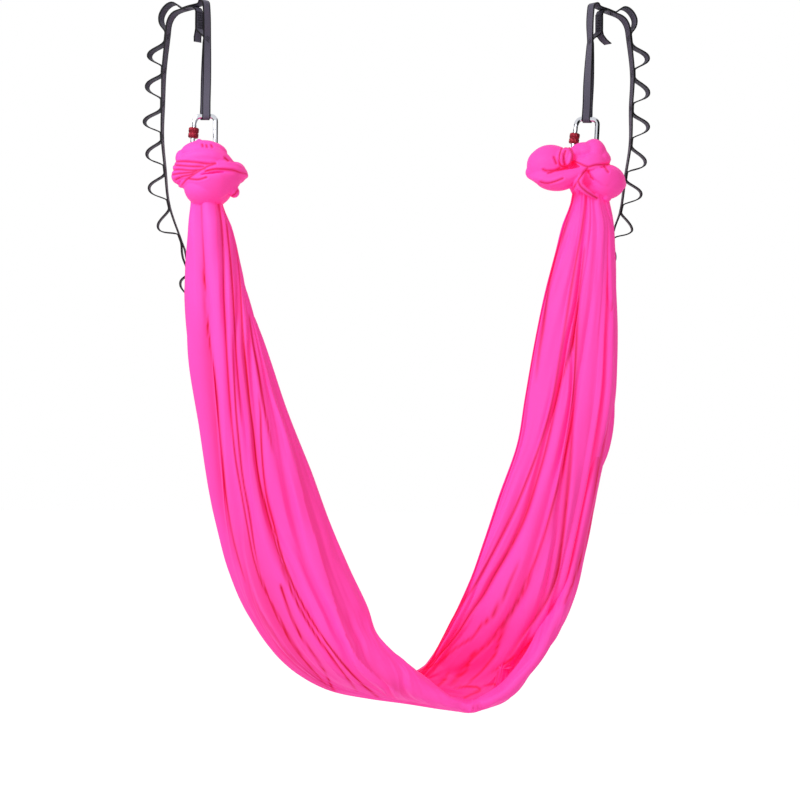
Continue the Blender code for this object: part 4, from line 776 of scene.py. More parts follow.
def make_knot(side):
    """One knot: lumps and strands of cloth grown together, with its fold lines pressed in and
    painted shade along them.
    """
    middle, neck, lobes, bands, lines = KNOTS[side]
    centre = seen(middle, 0.0)
    bm = bmesh.new()
    for lobe in rows_of(6, *lobes):
        add_lobe(bm, *lobe)
    for band in bands:
        add_band(bm, centre, *band)
    rings = []
    x, y, half_width = neck
    for k in range(NECK_RINGS):
        share = k / (NECK_RINGS - 1)
        place = seen((x + (middle[0] - x) * share, y - NECK_LENGTH * share), 0.0)
        swell = NECK_SWELL[0] + NECK_SWELL[1] * k
        wide = half_width * PIXEL
        rings.append([place + swell * np.array([wide * cos(angle), NECK_DEPTH * sin(angle), 0])
                      for angle in np.linspace(0, 2 * pi, NECK_SIDES, endpoint=False)])
    ring_skin(bm, rings)
    name = side + "_knot_cloth"
    obj = link_new(name, mesh_of(name, bm))
    add_modifier(obj, "REMESH", mode="VOXEL", voxel_size=KNOT_VOXEL)
    add_modifier(obj, "SMOOTH", factor=0.5, iterations=5)
    bake_modifiers(obj)
    places, normals, distance, front = facing_lines(obj.data, lines)
    press = bell(distance, 0, FOLD_LINE_WIDTH)
    swell = bell(distance, FOLD_LINE_SIDE * FOLD_LINE_WIDTH, FOLD_LINE_WIDTH)
    lift = (-FOLD_LINE_DEPTH * press + FOLD_LINE_SWELL * swell) * front
    x, y, z = ((places - centre) / KNOT_SIZE).T
    soft_folds = wander(z * 2.6 + x * 0.8, x * 0.5 + y * 0.9, KNOT_SEED)
    lift += KNOT_RIPPLE * soft_folds * (KNOT_RIPPLE_FRONT + (1 - KNOT_RIPPLE_FRONT) * (1 - front))
    obj.data.vertices.foreach_set("co", (places + normals * lift[:, None]).ravel())
    room = link_new(side + "_gate_room", gate_room_mesh(side))
    add_modifier(obj, "BOOLEAN", operation="DIFFERENCE", object=room)
    bake_modifiers(obj)
    bpy.data.objects.remove(room)
    _, _, distance, front = facing_lines(obj.data, lines)
    # The fold attribute here is painted shade along the knot's fold lines, weaker where the knot
    # turns away from the camera's side
    set_attribute(obj.data, "fold", FOLD_LINE_PAINTED_SHADE * bell(distance, 0, 1.0) * front)
    obj.data.shade_smooth()
    finish_piece(obj, "hammock", side + "_knot", tricot_material())
    return obj


def finish_piece(obj, body, node, material):
    """Give a piece its finish and its body, and hide the frame's node that it stands for."""
    obj.data.materials.clear()
    obj.data.materials.append(material)
    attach(obj, body)
    if node:
        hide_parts(node)


# Sizes that the webbing and the metal share with the frame
SIGNS = {"left": -1, "right": 1}
HOOK_SPAN = 0.941
STRAP_DROP = 0.2762
CARABINER_INSET = {"left": 0.0036, "right": 0.0208}
WEBBING_WIDTH = 0.020
WEBBING_THICKNESS = 0.0016
DRAWN_THICKNESS = 0.0030
CHAIN_PITCH = 0.082
TACK_LENGTH = 0.016
HOOK_BEND_RADIUS = 0.017
LOOP_SEAT_CLEARANCE = 0.0011
LOOP_SKEW = 0.008
LOOP_SHIFT = 0.0037
LAYER_GAP = 0.0005
LAYER_STEP = WEBBING_THICKNESS + LAYER_GAP
LEG_LENGTH = 0.190
LADDER_LENGTH = 0.042
STRAP_STEP = 0.0030
CARABINER_WIDTH = 0.070
CARABINER_HEIGHT = 0.112
ROD_DIAMETER = 0.012
LOOP_RADIUS = ROD_DIAMETER / 2 + LOOP_SEAT_CLEARANCE + WEBBING_THICKNESS / 2
GATE_LENGTH = 0.053
GATE_DIAMETER = 0.011
GATE_PIVOT_HEIGHT = 0.028
GATE_LEAN = radians(5.0)
GATE_OPENING = radians(28.0)
RUNNING_GAP = 0.0003
SOFT_GAP = 0.0005
RING_TILT = {"left": 0.0, "right": radians(2.5)}
SLEEVE_DIAMETER = 0.0245
SLEEVE_LENGTH = 0.0246
SLEEVE_REST = {"left": 0.0195, "right": 0.0115}
SLEEVE_WAIST = 0.0012
SLEEVE_CHAMFER = 0.0022
SLEEVE_EDGE = 0.0005
SLEEVE_FLUTES = 18
FLUTE_SIDES = 8
FLUTE_DEPTH = 0.0006
FLUTE_GAIN = 1.6
FLUTE_SHARPNESS = 0.6
SLEEVE_ROOM = 0.0035

# Chain spines in shares of the pitch: outwards, backwards, downwards, turn in degrees.
# The first row is the tack beside the hook; a row marked 1 is a tacked node.
SPINE_SHARES = {
    "left": [.57, .63, .05, 50, 1, .94, .8, .13, 42, 0, 1.13, .88, .38, 34, 0, 1.19, .93, .8, 28,
        1, 1.3, .98, 1.81, 22, 1, 1.33, 1.02, 2.79, 14, 1, 1.35, 1.07, 3.77, 8, 1, 1.26, 1.1, 4.76,
        4, 1, 1.15, 1.15, 5.78, 2, 1, .81, 1.2, 6.79, 0, 1, .66, 1.22, 7.21, 0, 0, .59, 1.24, 7.81,
        0, 1, .58, 1.24, 8.66, 0, 1],
    "right": [.55, .63, .07, 50, 1, .9, .78, .17, 42, 0, 1.08, .85, .39, 34, 0, 1.15, .9, .76, 26,
        1, 1.28, .98, 1.8, 20, 1, 1.25, 1.02, 2.82, 15, 1, 1.25, 1.07, 3.84, 8, 1, 1.11, 1.1, 4.85,
        4, 1, .99, 1.15, 5.83, 2, 1, .81, 1.18, 6.39, 0, 0, .73, 1.22, 6.84, 0, 1, .72, 1.22, 7.72,
        0, 1],
}
# Each pocket's depth as a share of the pitch, and where its peak lies along it.
POCKET_SHARES = {
    "left": [.4, .5, .55, .58, .52, .46, .54, .57, .49, .49, .51, .51, .5, .54, .08, .5, .2, .4],
    "right": [.39, .5, .54, .6, .51, .51, .52, .55, .51, .52, .52, .5, .5, .48, .1, .5],
}
# The loose tail under the ladder, in shares of the pitch past the ladder line.
TAIL_SHARES = {
    "left": [.02, .03, .1, .05, .07, .22, .05, .09, .36],
    "right": [.03, .03, .1, .13, .07, .22, .27, .1, .33],
}
# How far the strap's face is turned at the hook and at the tack of the end loop.
TURNS_DEGREES = {"left": (55, 58), "right": (50, 34)}
# Rows of the looped layer in each pocket, of the straight layer and of the end loop's legs
LOOP_SHARES = (.03, .06, *np.arange(.10, .96, .04), .97)
STRAIGHT_SHARES = (.06, .13, .2, .3, .4, .5, .6, .7, .8, .87, .94)
LEG_SHARES = (0.0, 0.06, 0.2, 0.4, 0.6, 0.8, 0.93)
CHAIN_STEPS = 10
BAR_STEPS = 8
CROWN_FACET = radians(15)
LOOP_FULLNESS = 0.13
# The end loop's tack inwards of the hook in bend radii, and how its legs turn and spread
LEG_INSET = 0.6
LEG_TURNING = 1.25
LEG_SPREADING = 1.4
# The ladder's top under the hook in bend radii, and how the strap leans in under it
LADDER_TOP = 1.2
LADDER_LEAN = 0.8
# Where the layers bend beside the hook, in shares of the way down to the next row
LOOPED_ELBOW = 0.45
STRAIGHT_ELBOW = (0.72, 0.30)


def strap_vector(side, out, back, down):
    return Vector((SIGNS[side] * out, back, -down))


def strap_point(side, out, back, down):
    return strap_vector(side, HOOK_SPAN / 2 + out, back, down)


def bar_x(side):
    return SIGNS[side] * (HOOK_SPAN / 2 - CARABINER_INSET[side])


def loop_seat(side):
    """The middle of the carabiner's top bar where the end loop holds it."""
    return Vector((bar_x(side) + LOOP_SHIFT, 0, -STRAP_DROP))


def strap_axes(side, turn):
    """Width and face direction of a strap turned about the vertical."""
    return (strap_vector(side, sin(turn), -cos(turn), 0),
            strap_vector(side, -cos(turn), -sin(turn), 0))


def crown_axes(side):
    return strap_axes(side, radians(TURNS_DEGREES[side][0]))


def chain_frames(side):
    """Places along the spine with width axis, outward normal and length, and node lengths."""
    table = rows_of(5, *SPINE_SHARES[side])
    rows = [[*strap_point(side, *place * CHAIN_PITCH), radians(turn)]
            for place, turn in zip(table[:, :3], table[:, 3])]
    ends = np.array([rows[0], *rows, rows[-1]])
    fine = [catmull_rom(*ends[i:i + 4], step / CHAIN_STEPS)
            for i in range(len(rows) - 1) for step in range(CHAIN_STEPS)] + [ends[-1]]
    frames, nodes, length = [], [], 0.0
    for i, row in enumerate(fine):
        before, place, after = (Vector(fine[min(max(k, 0), len(fine) - 1)][:3])
                                for k in (i - 1, i, i + 1))
        tangent = (after - before).normalized()
        length += (place - before).length
        width = strap_axes(side, row[3])[0]
        width = (width - tangent * width.dot(tangent)).normalized()
        normal = tangent.cross(width).normalized()
        if normal.dot(strap_vector(side, 1, 0, -1)) < 0:
            normal = -normal
        frames.append((place, width, normal, length))
        if i % CHAIN_STEPS == 0 and table[i // CHAIN_STEPS, 4]:
            nodes.append(length)
    return frames, nodes


def pocket_spans(nodes):
    """Where each pocket starts and ends along the spine, between the tacks."""
    return [(start + TACK_LENGTH / 2, end - TACK_LENGTH / 2)
            for start, end in zip(nodes, nodes[1:])]


def pocket_offset(side, length, nodes):
    """How far the looped layer stands off the straight one at a length along it."""
    for (depth, peak), (low, high) in zip(rows_of(2, *POCKET_SHARES[side]), pocket_spans(nodes)):
        if low < length < high:
            share = ((length - low) / (high - low)) ** (log(0.5) / log(peak))
            return depth * CHAIN_PITCH * (sin(pi * share) ** 2
                                          + LOOP_FULLNESS * sin(2 * pi * share) ** 2)
    return 0.0


def frame_at(frames, length):
    """The spine's place, width axis and normal at a length along it."""
    index = 0
    while index < len(frames) - 2 and frames[index + 1][3] < length:
        index += 1
    one, two = frames[index], frames[index + 1]
    t = (length - one[3]) / (two[3] - one[3])
    return (one[0].lerp(two[0], t), one[1].lerp(two[1], t).normalized(),
            one[2].lerp(two[2], t).normalized())


def chain_stations(side, shares):
    """Places up the chain: both ends of every tack and the given shares of each pocket."""
    frames, nodes = chain_frames(side)
    lengths = [nodes[0] - TACK_LENGTH / 2, nodes[0]]
    for low, high in pocket_spans(nodes):
        lengths += [low] + [low + (high - low) * share for share in shares] + [high]
    lengths.append(nodes[-1])
    return [(*frame_at(frames, length), pocket_offset(side, length, nodes))
            for length in reversed(lengths)]


def leg_frame(side, share):
    """Centre line of the end loop's two legs, from the tack (0) to the carabiner (1)."""
    top = strap_point(side, -HOOK_BEND_RADIUS * LEG_INSET, 0, STRAP_DROP - LEG_LENGTH)
    node_turn = radians(TURNS_DEGREES[side][1])
    turn = node_turn + (pi / 2 - node_turn) * min(1.0, LEG_TURNING * share)
    spread = LAYER_STEP / 2 + (LOOP_RADIUS - LAYER_STEP / 2) * share ** LEG_SPREADING
    return (top.lerp(loop_seat(side), share), *strap_axes(side, turn), spread,
            LOOP_SKEW / 2 * share)


def crown_rows(side):
    """The looped layer over the hook, from its back to its front, one flat facet on top."""
    width, face = crown_axes(side)
    radius = (HOOK_BEND_RADIUS + WEBBING_THICKNESS / 2) / cos(CROWN_FACET)
    down = (radius - WEBBING_THICKNESS / 2) * cos(CROWN_FACET)
    centre = strap_point(side, 0, 0, down)
    return [(centre + radius * (cos(pi / 2 + step * CROWN_FACET) * face
                                + Vector((0, 0, sin(pi / 2 + step * CROWN_FACET)))), width)
            for step in (3, 1, -1, -3, -5)]


def ladder_rows(side):
    """The inner layer beside the hook, from the tack up, where the strap's ends overlap."""
    start, width, face, spread, _ = leg_frame(side, 0)
    crown_width, crown_face = crown_axes(side)
    straight = strap_point(side, 0, 0, 0) - crown_face * (HOOK_BEND_RADIUS + WEBBING_THICKNESS)
    rise = -start.z - HOOK_BEND_RADIUS * LADDER_TOP - LADDER_LENGTH
    rows = [(start - face * spread, width)]
    for share in (0.55, 1.0):
        blend = start.lerp(straight, share ** LADDER_LEAN)
        rows.append((Vector((blend.x, blend.y, start.z + rise * share)), crown_width))
    for share in (0.33, 0.66, 1.0):
        rows.append((Vector((straight.x, straight.y, start.z + rise + LADDER_LENGTH * share)),
                     crown_width))
    return rows


def looped_layer_rows(side):
    """The whole looped layer: pockets, over the hook, the end loop and the ladder."""
    rows = [(place + normal * (LAYER_STEP + offset), width)
            for place, width, normal, offset in chain_stations(side, LOOP_SHARES)]
    first = len(rows) - 1
    rows += crown_rows(side)
    legs = [leg_frame(side, share) for share in LEG_SHARES]
    start, _, face, spread, _ = legs[0]
    elbow = rows[-1][0].lerp(start + face * spread, LOOPED_ELBOW)
    rows.append((elbow + face * LAYER_STEP, crown_axes(side)[0]))
    rows += [(place + face * spread - width * skew, width)
             for place, width, face, spread, skew in legs]
    across, face = strap_axes(side, pi / 2)
    for step in range(BAR_STEPS + 1):
        angle = pi * step / BAR_STEPS
        place = loop_seat(side) + LOOP_RADIUS * (cos(angle) * face - Vector((0, 0, sin(angle))))
        rows.append((place - across * LOOP_SKEW / 2 * cos(angle), across))
    rows += [(place - face * spread + width * skew, width)
             for place, width, face, spread, skew in reversed(legs[1:])]
    return rounded(rows + ladder_rows(side), first, len(rows) + 2)


def straight_layer_rows(side):
    """The straight layer: from the chain's end up to the hook, down the ladder, tail last."""
    rows = [(place, width) for place, width, _, _ in chain_stations(side, STRAIGHT_SHARES)]
    first = len(rows) - 1
    width, face = crown_axes(side)
    ladder = [place - face * LAYER_STEP for place, _ in reversed(ladder_rows(side)[2:])]
    top = rows[-1][0]
    across, down = STRAIGHT_ELBOW
    elbow = top.lerp(ladder[0], across)
    elbow.z = top.z - (top.z - ladder[0].z) * down
    tail = [ladder[-1] + strap_vector(side, *place * CHAIN_PITCH)
            for place in rows_of(3, *TAIL_SHARES[side])]
    rows += [(place, width) for place in (elbow, *ladder, *tail)]
    return rounded(rows, first, first + 2)


def rounded(rows, first, last):
    """Round a strap's bends between two rows: Catmull-Rom values at about the strap's step."""
    ends = np.array([[*place, *width] for place, width in (rows[0], *rows, rows[-1])])
    fine = [ends[0]]
    for index in range(len(rows) - 1):
        span = (rows[index + 1][0] - rows[index][0]).length
        steps = max(1, round(span / STRAP_STEP)) if first <= index < last else 1
        fine += [catmull_rom(*ends[index:index + 4], step / steps) for step in range(1, steps + 1)]
    return [(Vector(row[:3]), Vector(row[3:])) for row in fine]


# Webbing's section: shares of half the width and half the thickness, round a rounded edge
EDGE_SHARES = rows_of(
    2, -.97, -1, -.5, -1, 0, -1, .5, -1, .97, -1, 1, -.5, 1, .5, .97, 1, .5, 1, 0, 1, -.5, 1, -.97,
    1, -1, .5, -1, -.5)


def make_webbing(name, node, rows):
    """One woven layer: a rounded flat section swept along its path, with its UVs in metres."""
    rings, lengths = [], [0.0]
    for i, (place, width) in enumerate(rows):
        before, after = rows[max(i - 1, 0)][0], rows[min(i + 1, len(rows) - 1)][0]
        tangent = ((place - before).normalized() + (after - place).normalized()).normalized()
        across = width.normalized() * WEBBING_WIDTH / 2
        normal = across.cross(tangent).normalized() * DRAWN_THICKNESS / 2
        rings.append([place + across * a + normal * b for a, b in EDGE_SHARES])
        lengths.append(lengths[-1] + (after - place).length)
    bm = bmesh.new()
    place_of = {vert: (across * WEBBING_WIDTH / 2, length)
                for length, row in zip(lengths, ring_skin(bm, rings))
                for across, vert in zip(EDGE_SHARES[:, 0], row)}
    uv = bm.loops.layers.uv.new("along")
    for face in bm.faces:
        for loop in face.loops:
            loop[uv].uv = place_of[loop.vert]
    finish_piece(link_new(name, mesh_of(name, bm, sharp=60)), "straps", node,
                 webbing_material())


# Bar tacks: three slanting bars of thread at a chain node, and straight rungs on the ladder
TACK_BARS = 3
TACK_BAR_LENGTH = 0.0125
TACK_BAR_PITCH = 0.0046
TACK_SLANT = radians(38)
LOOP_TACK_SPREAD = 1.2
THREAD_WIDTH = 0.0030
THREAD_STITCH_PITCH = 0.0008
THREAD_HEIGHT = 0.0009
THREAD_STAND = 0.0002
THREAD_TILT = 0.25
LADDER_RUNGS = 7
LADDER_REACH = 1.9


def tack_bars(side):
    """Every bar of thread: its middle, its direction, the face it lies on and its reach."""
    bars = []

    def both_faces(place, run, face, front, back, reach=1.0):
        skin = DRAWN_THICKNESS / 2
        bars.append((place + face * (front + skin), run, face, reach))
        bars.append((place - face * (back + skin), run, -face, reach))

    frames, nodes = chain_frames(side)
    rungs = [k - (TACK_BARS - 1) / 2 for k in range(TACK_BARS)]
    for length in nodes[:-1]:
        for rung in rungs:
            place, width, normal = frame_at(frames, max(0.0, length + rung * TACK_BAR_PITCH))
            run = width * cos(TACK_SLANT) + width.cross(normal) * sin(TACK_SLANT)
            both_faces(place, run, -normal, 0, LAYER_STEP)
    width, face = crown_axes(side)
    ladder = ladder_rows(side)
    for k in range(LADDER_RUNGS):
        place = ladder[2][0].lerp(ladder[-1][0], (k + 0.5) / LADDER_RUNGS)
        both_faces(place, width, face, 0, LAYER_STEP, LADDER_REACH)
    place, width, face, spread, _ = leg_frame(side, 0.02)
    up = Vector((0, 0, 1))
    run = (width * cos(TACK_SLANT) + up * sin(TACK_SLANT)).normalized()
    for rung in rungs:
        both_faces(place + up * (rung * TACK_BAR_PITCH * LOOP_TACK_SPREAD), run, face,
                   spread, spread)
    return bars


def stitch_tree():
    """Geometry Nodes that lay one short thread at every point, turned as the point says."""
    tree = bpy.data.node_groups.new("thread stitches", "GeometryNodeTree")
    for label, way, kind in (("Geometry", "INPUT", "NodeSocketGeometry"),
                             ("Stitch length", "INPUT", "NodeSocketFloat"),
                             ("Thread width", "INPUT", "NodeSocketFloat"),
                             ("Finish", "INPUT", "NodeSocketMaterial"),
                             ("Geometry", "OUTPUT", "NodeSocketGeometry")):
        tree.interface.new_socket(label, in_out=way, socket_type=kind)
    given = add_node(tree, "NodeGroupInput").outputs
    run, face, reach = (add_node(tree, "GeometryNodeInputNamedAttribute", {"Name": name},
                                 data_type=kind).outputs["Attribute"]
                        for name, kind in (("run", "FLOAT_VECTOR"), ("face", "FLOAT_VECTOR"),
                                           ("reach", "FLOAT")))
    thread = add_node(tree, "GeometryNodeMeshUVSphere", {"Segments": 6, "Rings": 4, "Radius": 0.5})
    width = given["Thread width"]
    size = add_node(tree, "ShaderNodeCombineXYZ", {0: given["Stitch length"], 1: width, 2: width})
    shaped = add_node(tree, "GeometryNodeTransform", {"Geometry": thread, "Scale": size})
    along = add_node(tree, "FunctionNodeAlignRotationToVector", {"Vector": run}, axis="X")
    turned = add_node(tree, "FunctionNodeAlignRotationToVector",
                      {"Rotation": along, "Vector": face}, axis="Z", pivot_axis="X")
    stretch = add_node(tree, "ShaderNodeCombineXYZ", {0: reach, 1: 1.0, 2: 1.0})
    laid = add_node(tree, "GeometryNodeInstanceOnPoints",
                    {"Points": given["Geometry"], "Instance": shaped, "Rotation": turned,
                     "Scale": stretch})
    real = add_node(tree, "GeometryNodeRealizeInstances", {"Geometry": laid})
    done = add_node(tree, "GeometryNodeSetMaterial",
                    {"Geometry": real, "Material": given["Finish"]})
    add_node(tree, "NodeGroupOutput", {"Geometry": done})
    return tree


def grow_nodes(obj, tree, values):
    """Run a Geometry Nodes tree on an object with named inputs and keep the plain result."""
    modifier = obj.modifiers.new(tree.name, "NODES")
    modifier.node_group = tree
    for item in tree.interface.items_tree:
        if item.item_type == "SOCKET" and item.in_out == "INPUT" and item.name in values:
            modifier[item.identifier] = values[item.name]
    bake_modifiers(obj)


def make_tacks(side):
    """All bar tacks of one strap: rows of thread stitches laid by Geometry Nodes."""
    stitches = []
    count = round(TACK_BAR_LENGTH / THREAD_STITCH_PITCH)
    for place, run, face, reach in tack_bars(side):
        across = run.cross(face).normalized()
        for k in range(count):
            slide = (k - (count - 1) / 2) * THREAD_STITCH_PITCH
            tilt = across + run * (THREAD_TILT if k % 2 else -THREAD_TILT)
            stitches.append((place + run * slide + face * THREAD_STAND, tilt.normalized(), face,
                             reach))
    places, runs, faces, reaches = zip(*stitches)
    name = side + "_bar_tacks"
    mesh = bpy.data.meshes.new(name)
    mesh.from_pydata(places, [], [])
    for label, values in (("run", runs), ("face", faces), ("reach", reaches)):
        set_attribute(mesh, label, values)
    obj = link_new(name, mesh)
    grow_nodes(obj, stitch_tree(), {"Stitch length": THREAD_WIDTH, "Thread width": THREAD_HEIGHT,
                                    "Finish": thread_material()})
    obj.data.shade_smooth()
    finish_piece(obj, "straps", None, thread_material())


def carabiner_matrix(side, opening=0.0):
    """From the gate's frame, rivet at the origin and +Z to the nose, to the world's.

    Each carabiner hangs by its top bar in the strap; the right one is tilted a little.
    """
    spine = CARABINER_WIDTH / 2 - ROD_DIAMETER / 2
    height = ROD_DIAMETER - CARABINER_HEIGHT + GATE_PIVOT_HEIGHT
    rivet = Vector((GATE_PIVOT_HEIGHT * tan(GATE_LEAN) - spine, 0, height))
    ring = (Matrix.Translation(loop_seat(side)) @ Matrix.Rotation(RING_TILT[side], 4, "Y")
            @ Matrix.Translation((-LOOP_SHIFT, 0, 0)))
    return ring @ (Matrix.Translation(rivet) @ Matrix.Rotation(opening + GATE_LEAN, 4, "Y"))


def circle(matrix, radius, height, sides):
    """A ring of points about the matrix's Z axis; radius is a number or one for each side."""
    angles = 2 * pi * np.arange(sides) / sides
    rows = np.stack([radius * np.cos(angles), radius * np.sin(angles), 0 * angles + height])
    return [matrix @ Vector(row) for row in rows.T]


def gate_room_mesh(side):
    """The space that the gate and its sleeve sweep, closed round with some room."""
    bm = bmesh.new()
    slim = GATE_DIAMETER / 2 + SOFT_GAP * 2
    wide = SLEEVE_DIAMETER / 2 + SOFT_GAP * 2
    for opening in (0.0, GATE_OPENING):
        for radius, height in [(slim, -GATE_DIAMETER / 2 - SOFT_GAP),
                               (wide, SLEEVE_REST[side] - SLEEVE_ROOM), (wide, GATE_LENGTH)]:
            for point in circle(carabiner_matrix(side, opening), radius, height, 24):
                bm.verts.new(point)
    bmesh.ops.convex_hull(bm, input=bm.verts)
    loose = [vert for vert in bm.verts if not vert.link_faces]
    bmesh.ops.delete(bm, geom=loose, context="VERTS")
    return mesh_of(side + "_gate_room", bm)


def make_sleeve(side):
    """The red screw sleeve: two fluted tiers round a waist, bored to run on the gate."""
    outer = SLEEVE_DIAMETER / 2
    bore = GATE_DIAMETER / 2 + RUNNING_GAP
    half = SLEEVE_LENGTH / 2
    waist = SLEEVE_LENGTH * 0.06
    # Height, radius and how deep the flutes are, up to the waist; the upper tier mirrors it
    tier = [(SLEEVE_EDGE, bore, 0), (0.0, bore + SLEEVE_EDGE, 0), (0.0, outer - SLEEVE_CHAMFER, 0),
            (SLEEVE_CHAMFER * 0.25, outer - SLEEVE_CHAMFER * 0.55, 0.2),
            (SLEEVE_CHAMFER * 0.8, outer - SLEEVE_EDGE * 0.4, 0.9),
            (SLEEVE_CHAMFER * 1.2, outer, 1.0), (half - waist * 1.5, outer, 1.0),
            (half - waist, outer - SLEEVE_EDGE * 0.6, 1.0),
            (half - waist * 0.4, outer - SLEEVE_WAIST, 0.4)]
    levels = [*tier, *((SLEEVE_LENGTH - height, radius, flute)
                       for height, radius, flute in reversed(tier)), (half, bore, 0)]
    sides = SLEEVE_FLUTES * FLUTE_SIDES
    wave = np.abs(np.sin(pi * np.arange(sides) / FLUTE_SIDES)) ** FLUTE_SHARPNESS
    flute_depth = FLUTE_DEPTH * FLUTE_GAIN * (1 - wave)
    bm = bmesh.new()
    ring_skin(bm, [circle(carabiner_matrix(side), radius - flute * flute_depth,
                          SLEEVE_REST[side] + height, sides)
                   for height, radius, flute in levels], capped=False)
    name = side + "_red_sleeve"
    finish_piece(link_new(name, mesh_of(name, bm, sharp=50)), side + "_sleeve",
                 side + "_screw_sleeve", sleeve_material())


# Weave of the webbing, drawn coarser than real yarns so that it shows, and its selvedges' start
# and end across
RIB_PITCH = 0.0017
WARP_PITCH = 0.0014
SELVEDGE = (0.0070, 0.0078)
# Noise scales, one over a width in metres: tones of 110 mm in the cloth, handling marks of 6 mm,
# and knit loops of 0.9 mm, thread of 1.1 mm, drawn wire of 1.4 mm and machined grain of 2.4 mm,
# all four coarser than real ones, which are too fine to show
CLOUD_SCALE = 9.0
MARKS_SCALE = 160.0
KNIT_SCALE = 1100.0
THREAD_SCALE = 900.0
WIRE_SCALE = 700.0
MACHINED_SCALE = 420.0
FLOOR_GLOW = 0.62


def built_once(name):
    """Turn a function that gives a shader's inputs into one that gives a named material."""
    def wrap(look):
        def material():
            found = bpy.data.materials.get(name)
            if not found:
                found = bpy.data.materials.new(name)
                found.use_nodes = True
                tree = found.node_tree
                fill(tree, tree.nodes["Principled BSDF"], look(tree))
            return found
        return material
    return wrap


@built_once("nylon tricot")
def tricot_material(tree):
    """Knitted nylon tricot: matt and soft and hot pink, with painted shade mixed in along its
    folds and a painted red glow from its emission.
    """
    look = bpy.context.scene.hammock_cloth
    where = add_node(tree, "ShaderNodeTexCoord").outputs["Object"]
    # The fold attribute is painted shade: it mixes the ridge colour towards the darker crease
    # colour
    fold = add_node(tree, "ShaderNodeAttribute", attribute_name="fold").outputs["Fac"]
    cloud = add_node(tree, "ShaderNodeTexNoise",
                     {"Vector": where, "Scale": CLOUD_SCALE, "Detail": 3.0})
    mixed = add_node(tree, "ShaderNodeMath", {0: cloud, 1: 0.12, 2: fold},
                     operation="MULTIPLY_ADD")
    deep = add_node(tree, "ShaderNodeMath", {0: mixed, 1: 0.06}, operation="SUBTRACT",
                    use_clamp=True)
    dyed = add_node(tree, "ShaderNodeMix", {0: deep, 6: (*look.ridge, 1), 7: (*look.crease, 1)},
                    data_type="RGBA")
    knit = add_node(tree, "ShaderNodeTexNoise",
                    {"Vector": where, "Scale": KNIT_SCALE, "Detail": 2.0})
    return {"Base Color": dyed.outputs[2], "Roughness": 0.62, "Specular IOR Level": 0.25,
            "Sheen Weight": 0.12, "Sheen Roughness": 0.45, "Sheen Tint": hex_colour("#FFB0F0"),
            # Painted glow: a constant red emission over the cloth that lifts the shade in its
            # folds
            "Emission Color": (*look.painted_red_glow, 1), "Emission Strength": 0.36,
            "Normal": add_node(tree, "ShaderNodeBump",
                               {"Height": knit, "Strength": 0.08, "Distance": 0.0004})}


@built_once("woven nylon webbing")
def webbing_material(tree):
    """Woven nylon webbing, near-black: its face painted a lighter grey-violet for its sheen, with
    ribs across and near-black selvedges.
    """
    look = bpy.context.scene.hammock_webbing
    where = add_node(tree, "ShaderNodeUVMap", uv_map="along")
    across, along, _ = add_node(tree, "ShaderNodeSeparateXYZ", {0: where}).outputs
    off = add_node(tree, "ShaderNodeMath", {0: across}, operation="ABSOLUTE")
    edge = add_node(tree, "ShaderNodeMapRange",
                    {"Value": off, "From Min": SELVEDGE[0], "From Max": SELVEDGE[1]})
    waves = []
    for way, pitch in ((along, RIB_PITCH), (across, WARP_PITCH)):
        turns = add_node(tree, "ShaderNodeMath", {0: way, 1: 2 * pi / pitch},
                         operation="MULTIPLY")
        waves.append(add_node(tree, "ShaderNodeMath", {0: turns}, operation="SINE"))
    weave = add_node(tree, "ShaderNodeMath", dict(enumerate(waves)), operation="MULTIPLY")
    tone = add_node(tree, "ShaderNodeMapRange", {"Value": weave, "From Min": -1.0})
    face = add_node(tree, "ShaderNodeMix", {0: tone, 6: (*look.rib_shade, 1),
                                            7: (*look.face, 1)}, data_type="RGBA")
    coloured = add_node(tree, "ShaderNodeMix", {0: edge, 6: face.outputs[2],
                                                7: (*look.selvedge, 1)}, data_type="RGBA")
    return {"Base Color": coloured.outputs[2], "Roughness": 0.6, "Sheen Weight": 0.04,
            "Specular IOR Level": 0.25,
            "Normal": add_node(tree, "ShaderNodeBump",
                               {"Height": weave, "Strength": 0.5, "Distance": 0.0002})}


@built_once("bonded thread")
def thread_material(tree):
    """Bonded polyester thread: black with a faint gloss."""
    look = bpy.context.scene.hammock_webbing
    where = add_node(tree, "ShaderNodeTexCoord").outputs["Object"]
    fibres = add_node(tree, "ShaderNodeTexNoise",
                      {"Vector": where, "Scale": THREAD_SCALE, "Detail": 2.0})
    tone = add_node(tree, "ShaderNodeMix", {0: fibres, 6: (*look.thread, 1),
                                            7: (*look.rib_shade, 1)}, data_type="RGBA")
    return {"Base Color": tone.outputs[2], "Roughness": 0.45}


@built_once("plated steel")
def steel_material(tree):
    """Chrome-plated steel: bright and mirror-smooth, with faint handling marks."""
    where = add_node(tree, "ShaderNodeTexCoord").outputs["Object"]
    marks = add_node(tree, "ShaderNodeTexNoise",
                     {"Vector": where, "Scale": MARKS_SCALE, "Detail": 4.0})
    return {"Base Color": (*bpy.context.scene.hammock_metal.steel, 1), "Metallic": 1.0,
            "Roughness": add_node(tree, "ShaderNodeMapRange",
                                  {"Value": marks, "To Min": 0.06, "To Max": 0.20}),
            "Normal": add_node(tree, "ShaderNodeBump",
                               {"Height": marks, "Strength": 0.05, "Distance": 0.0002})}


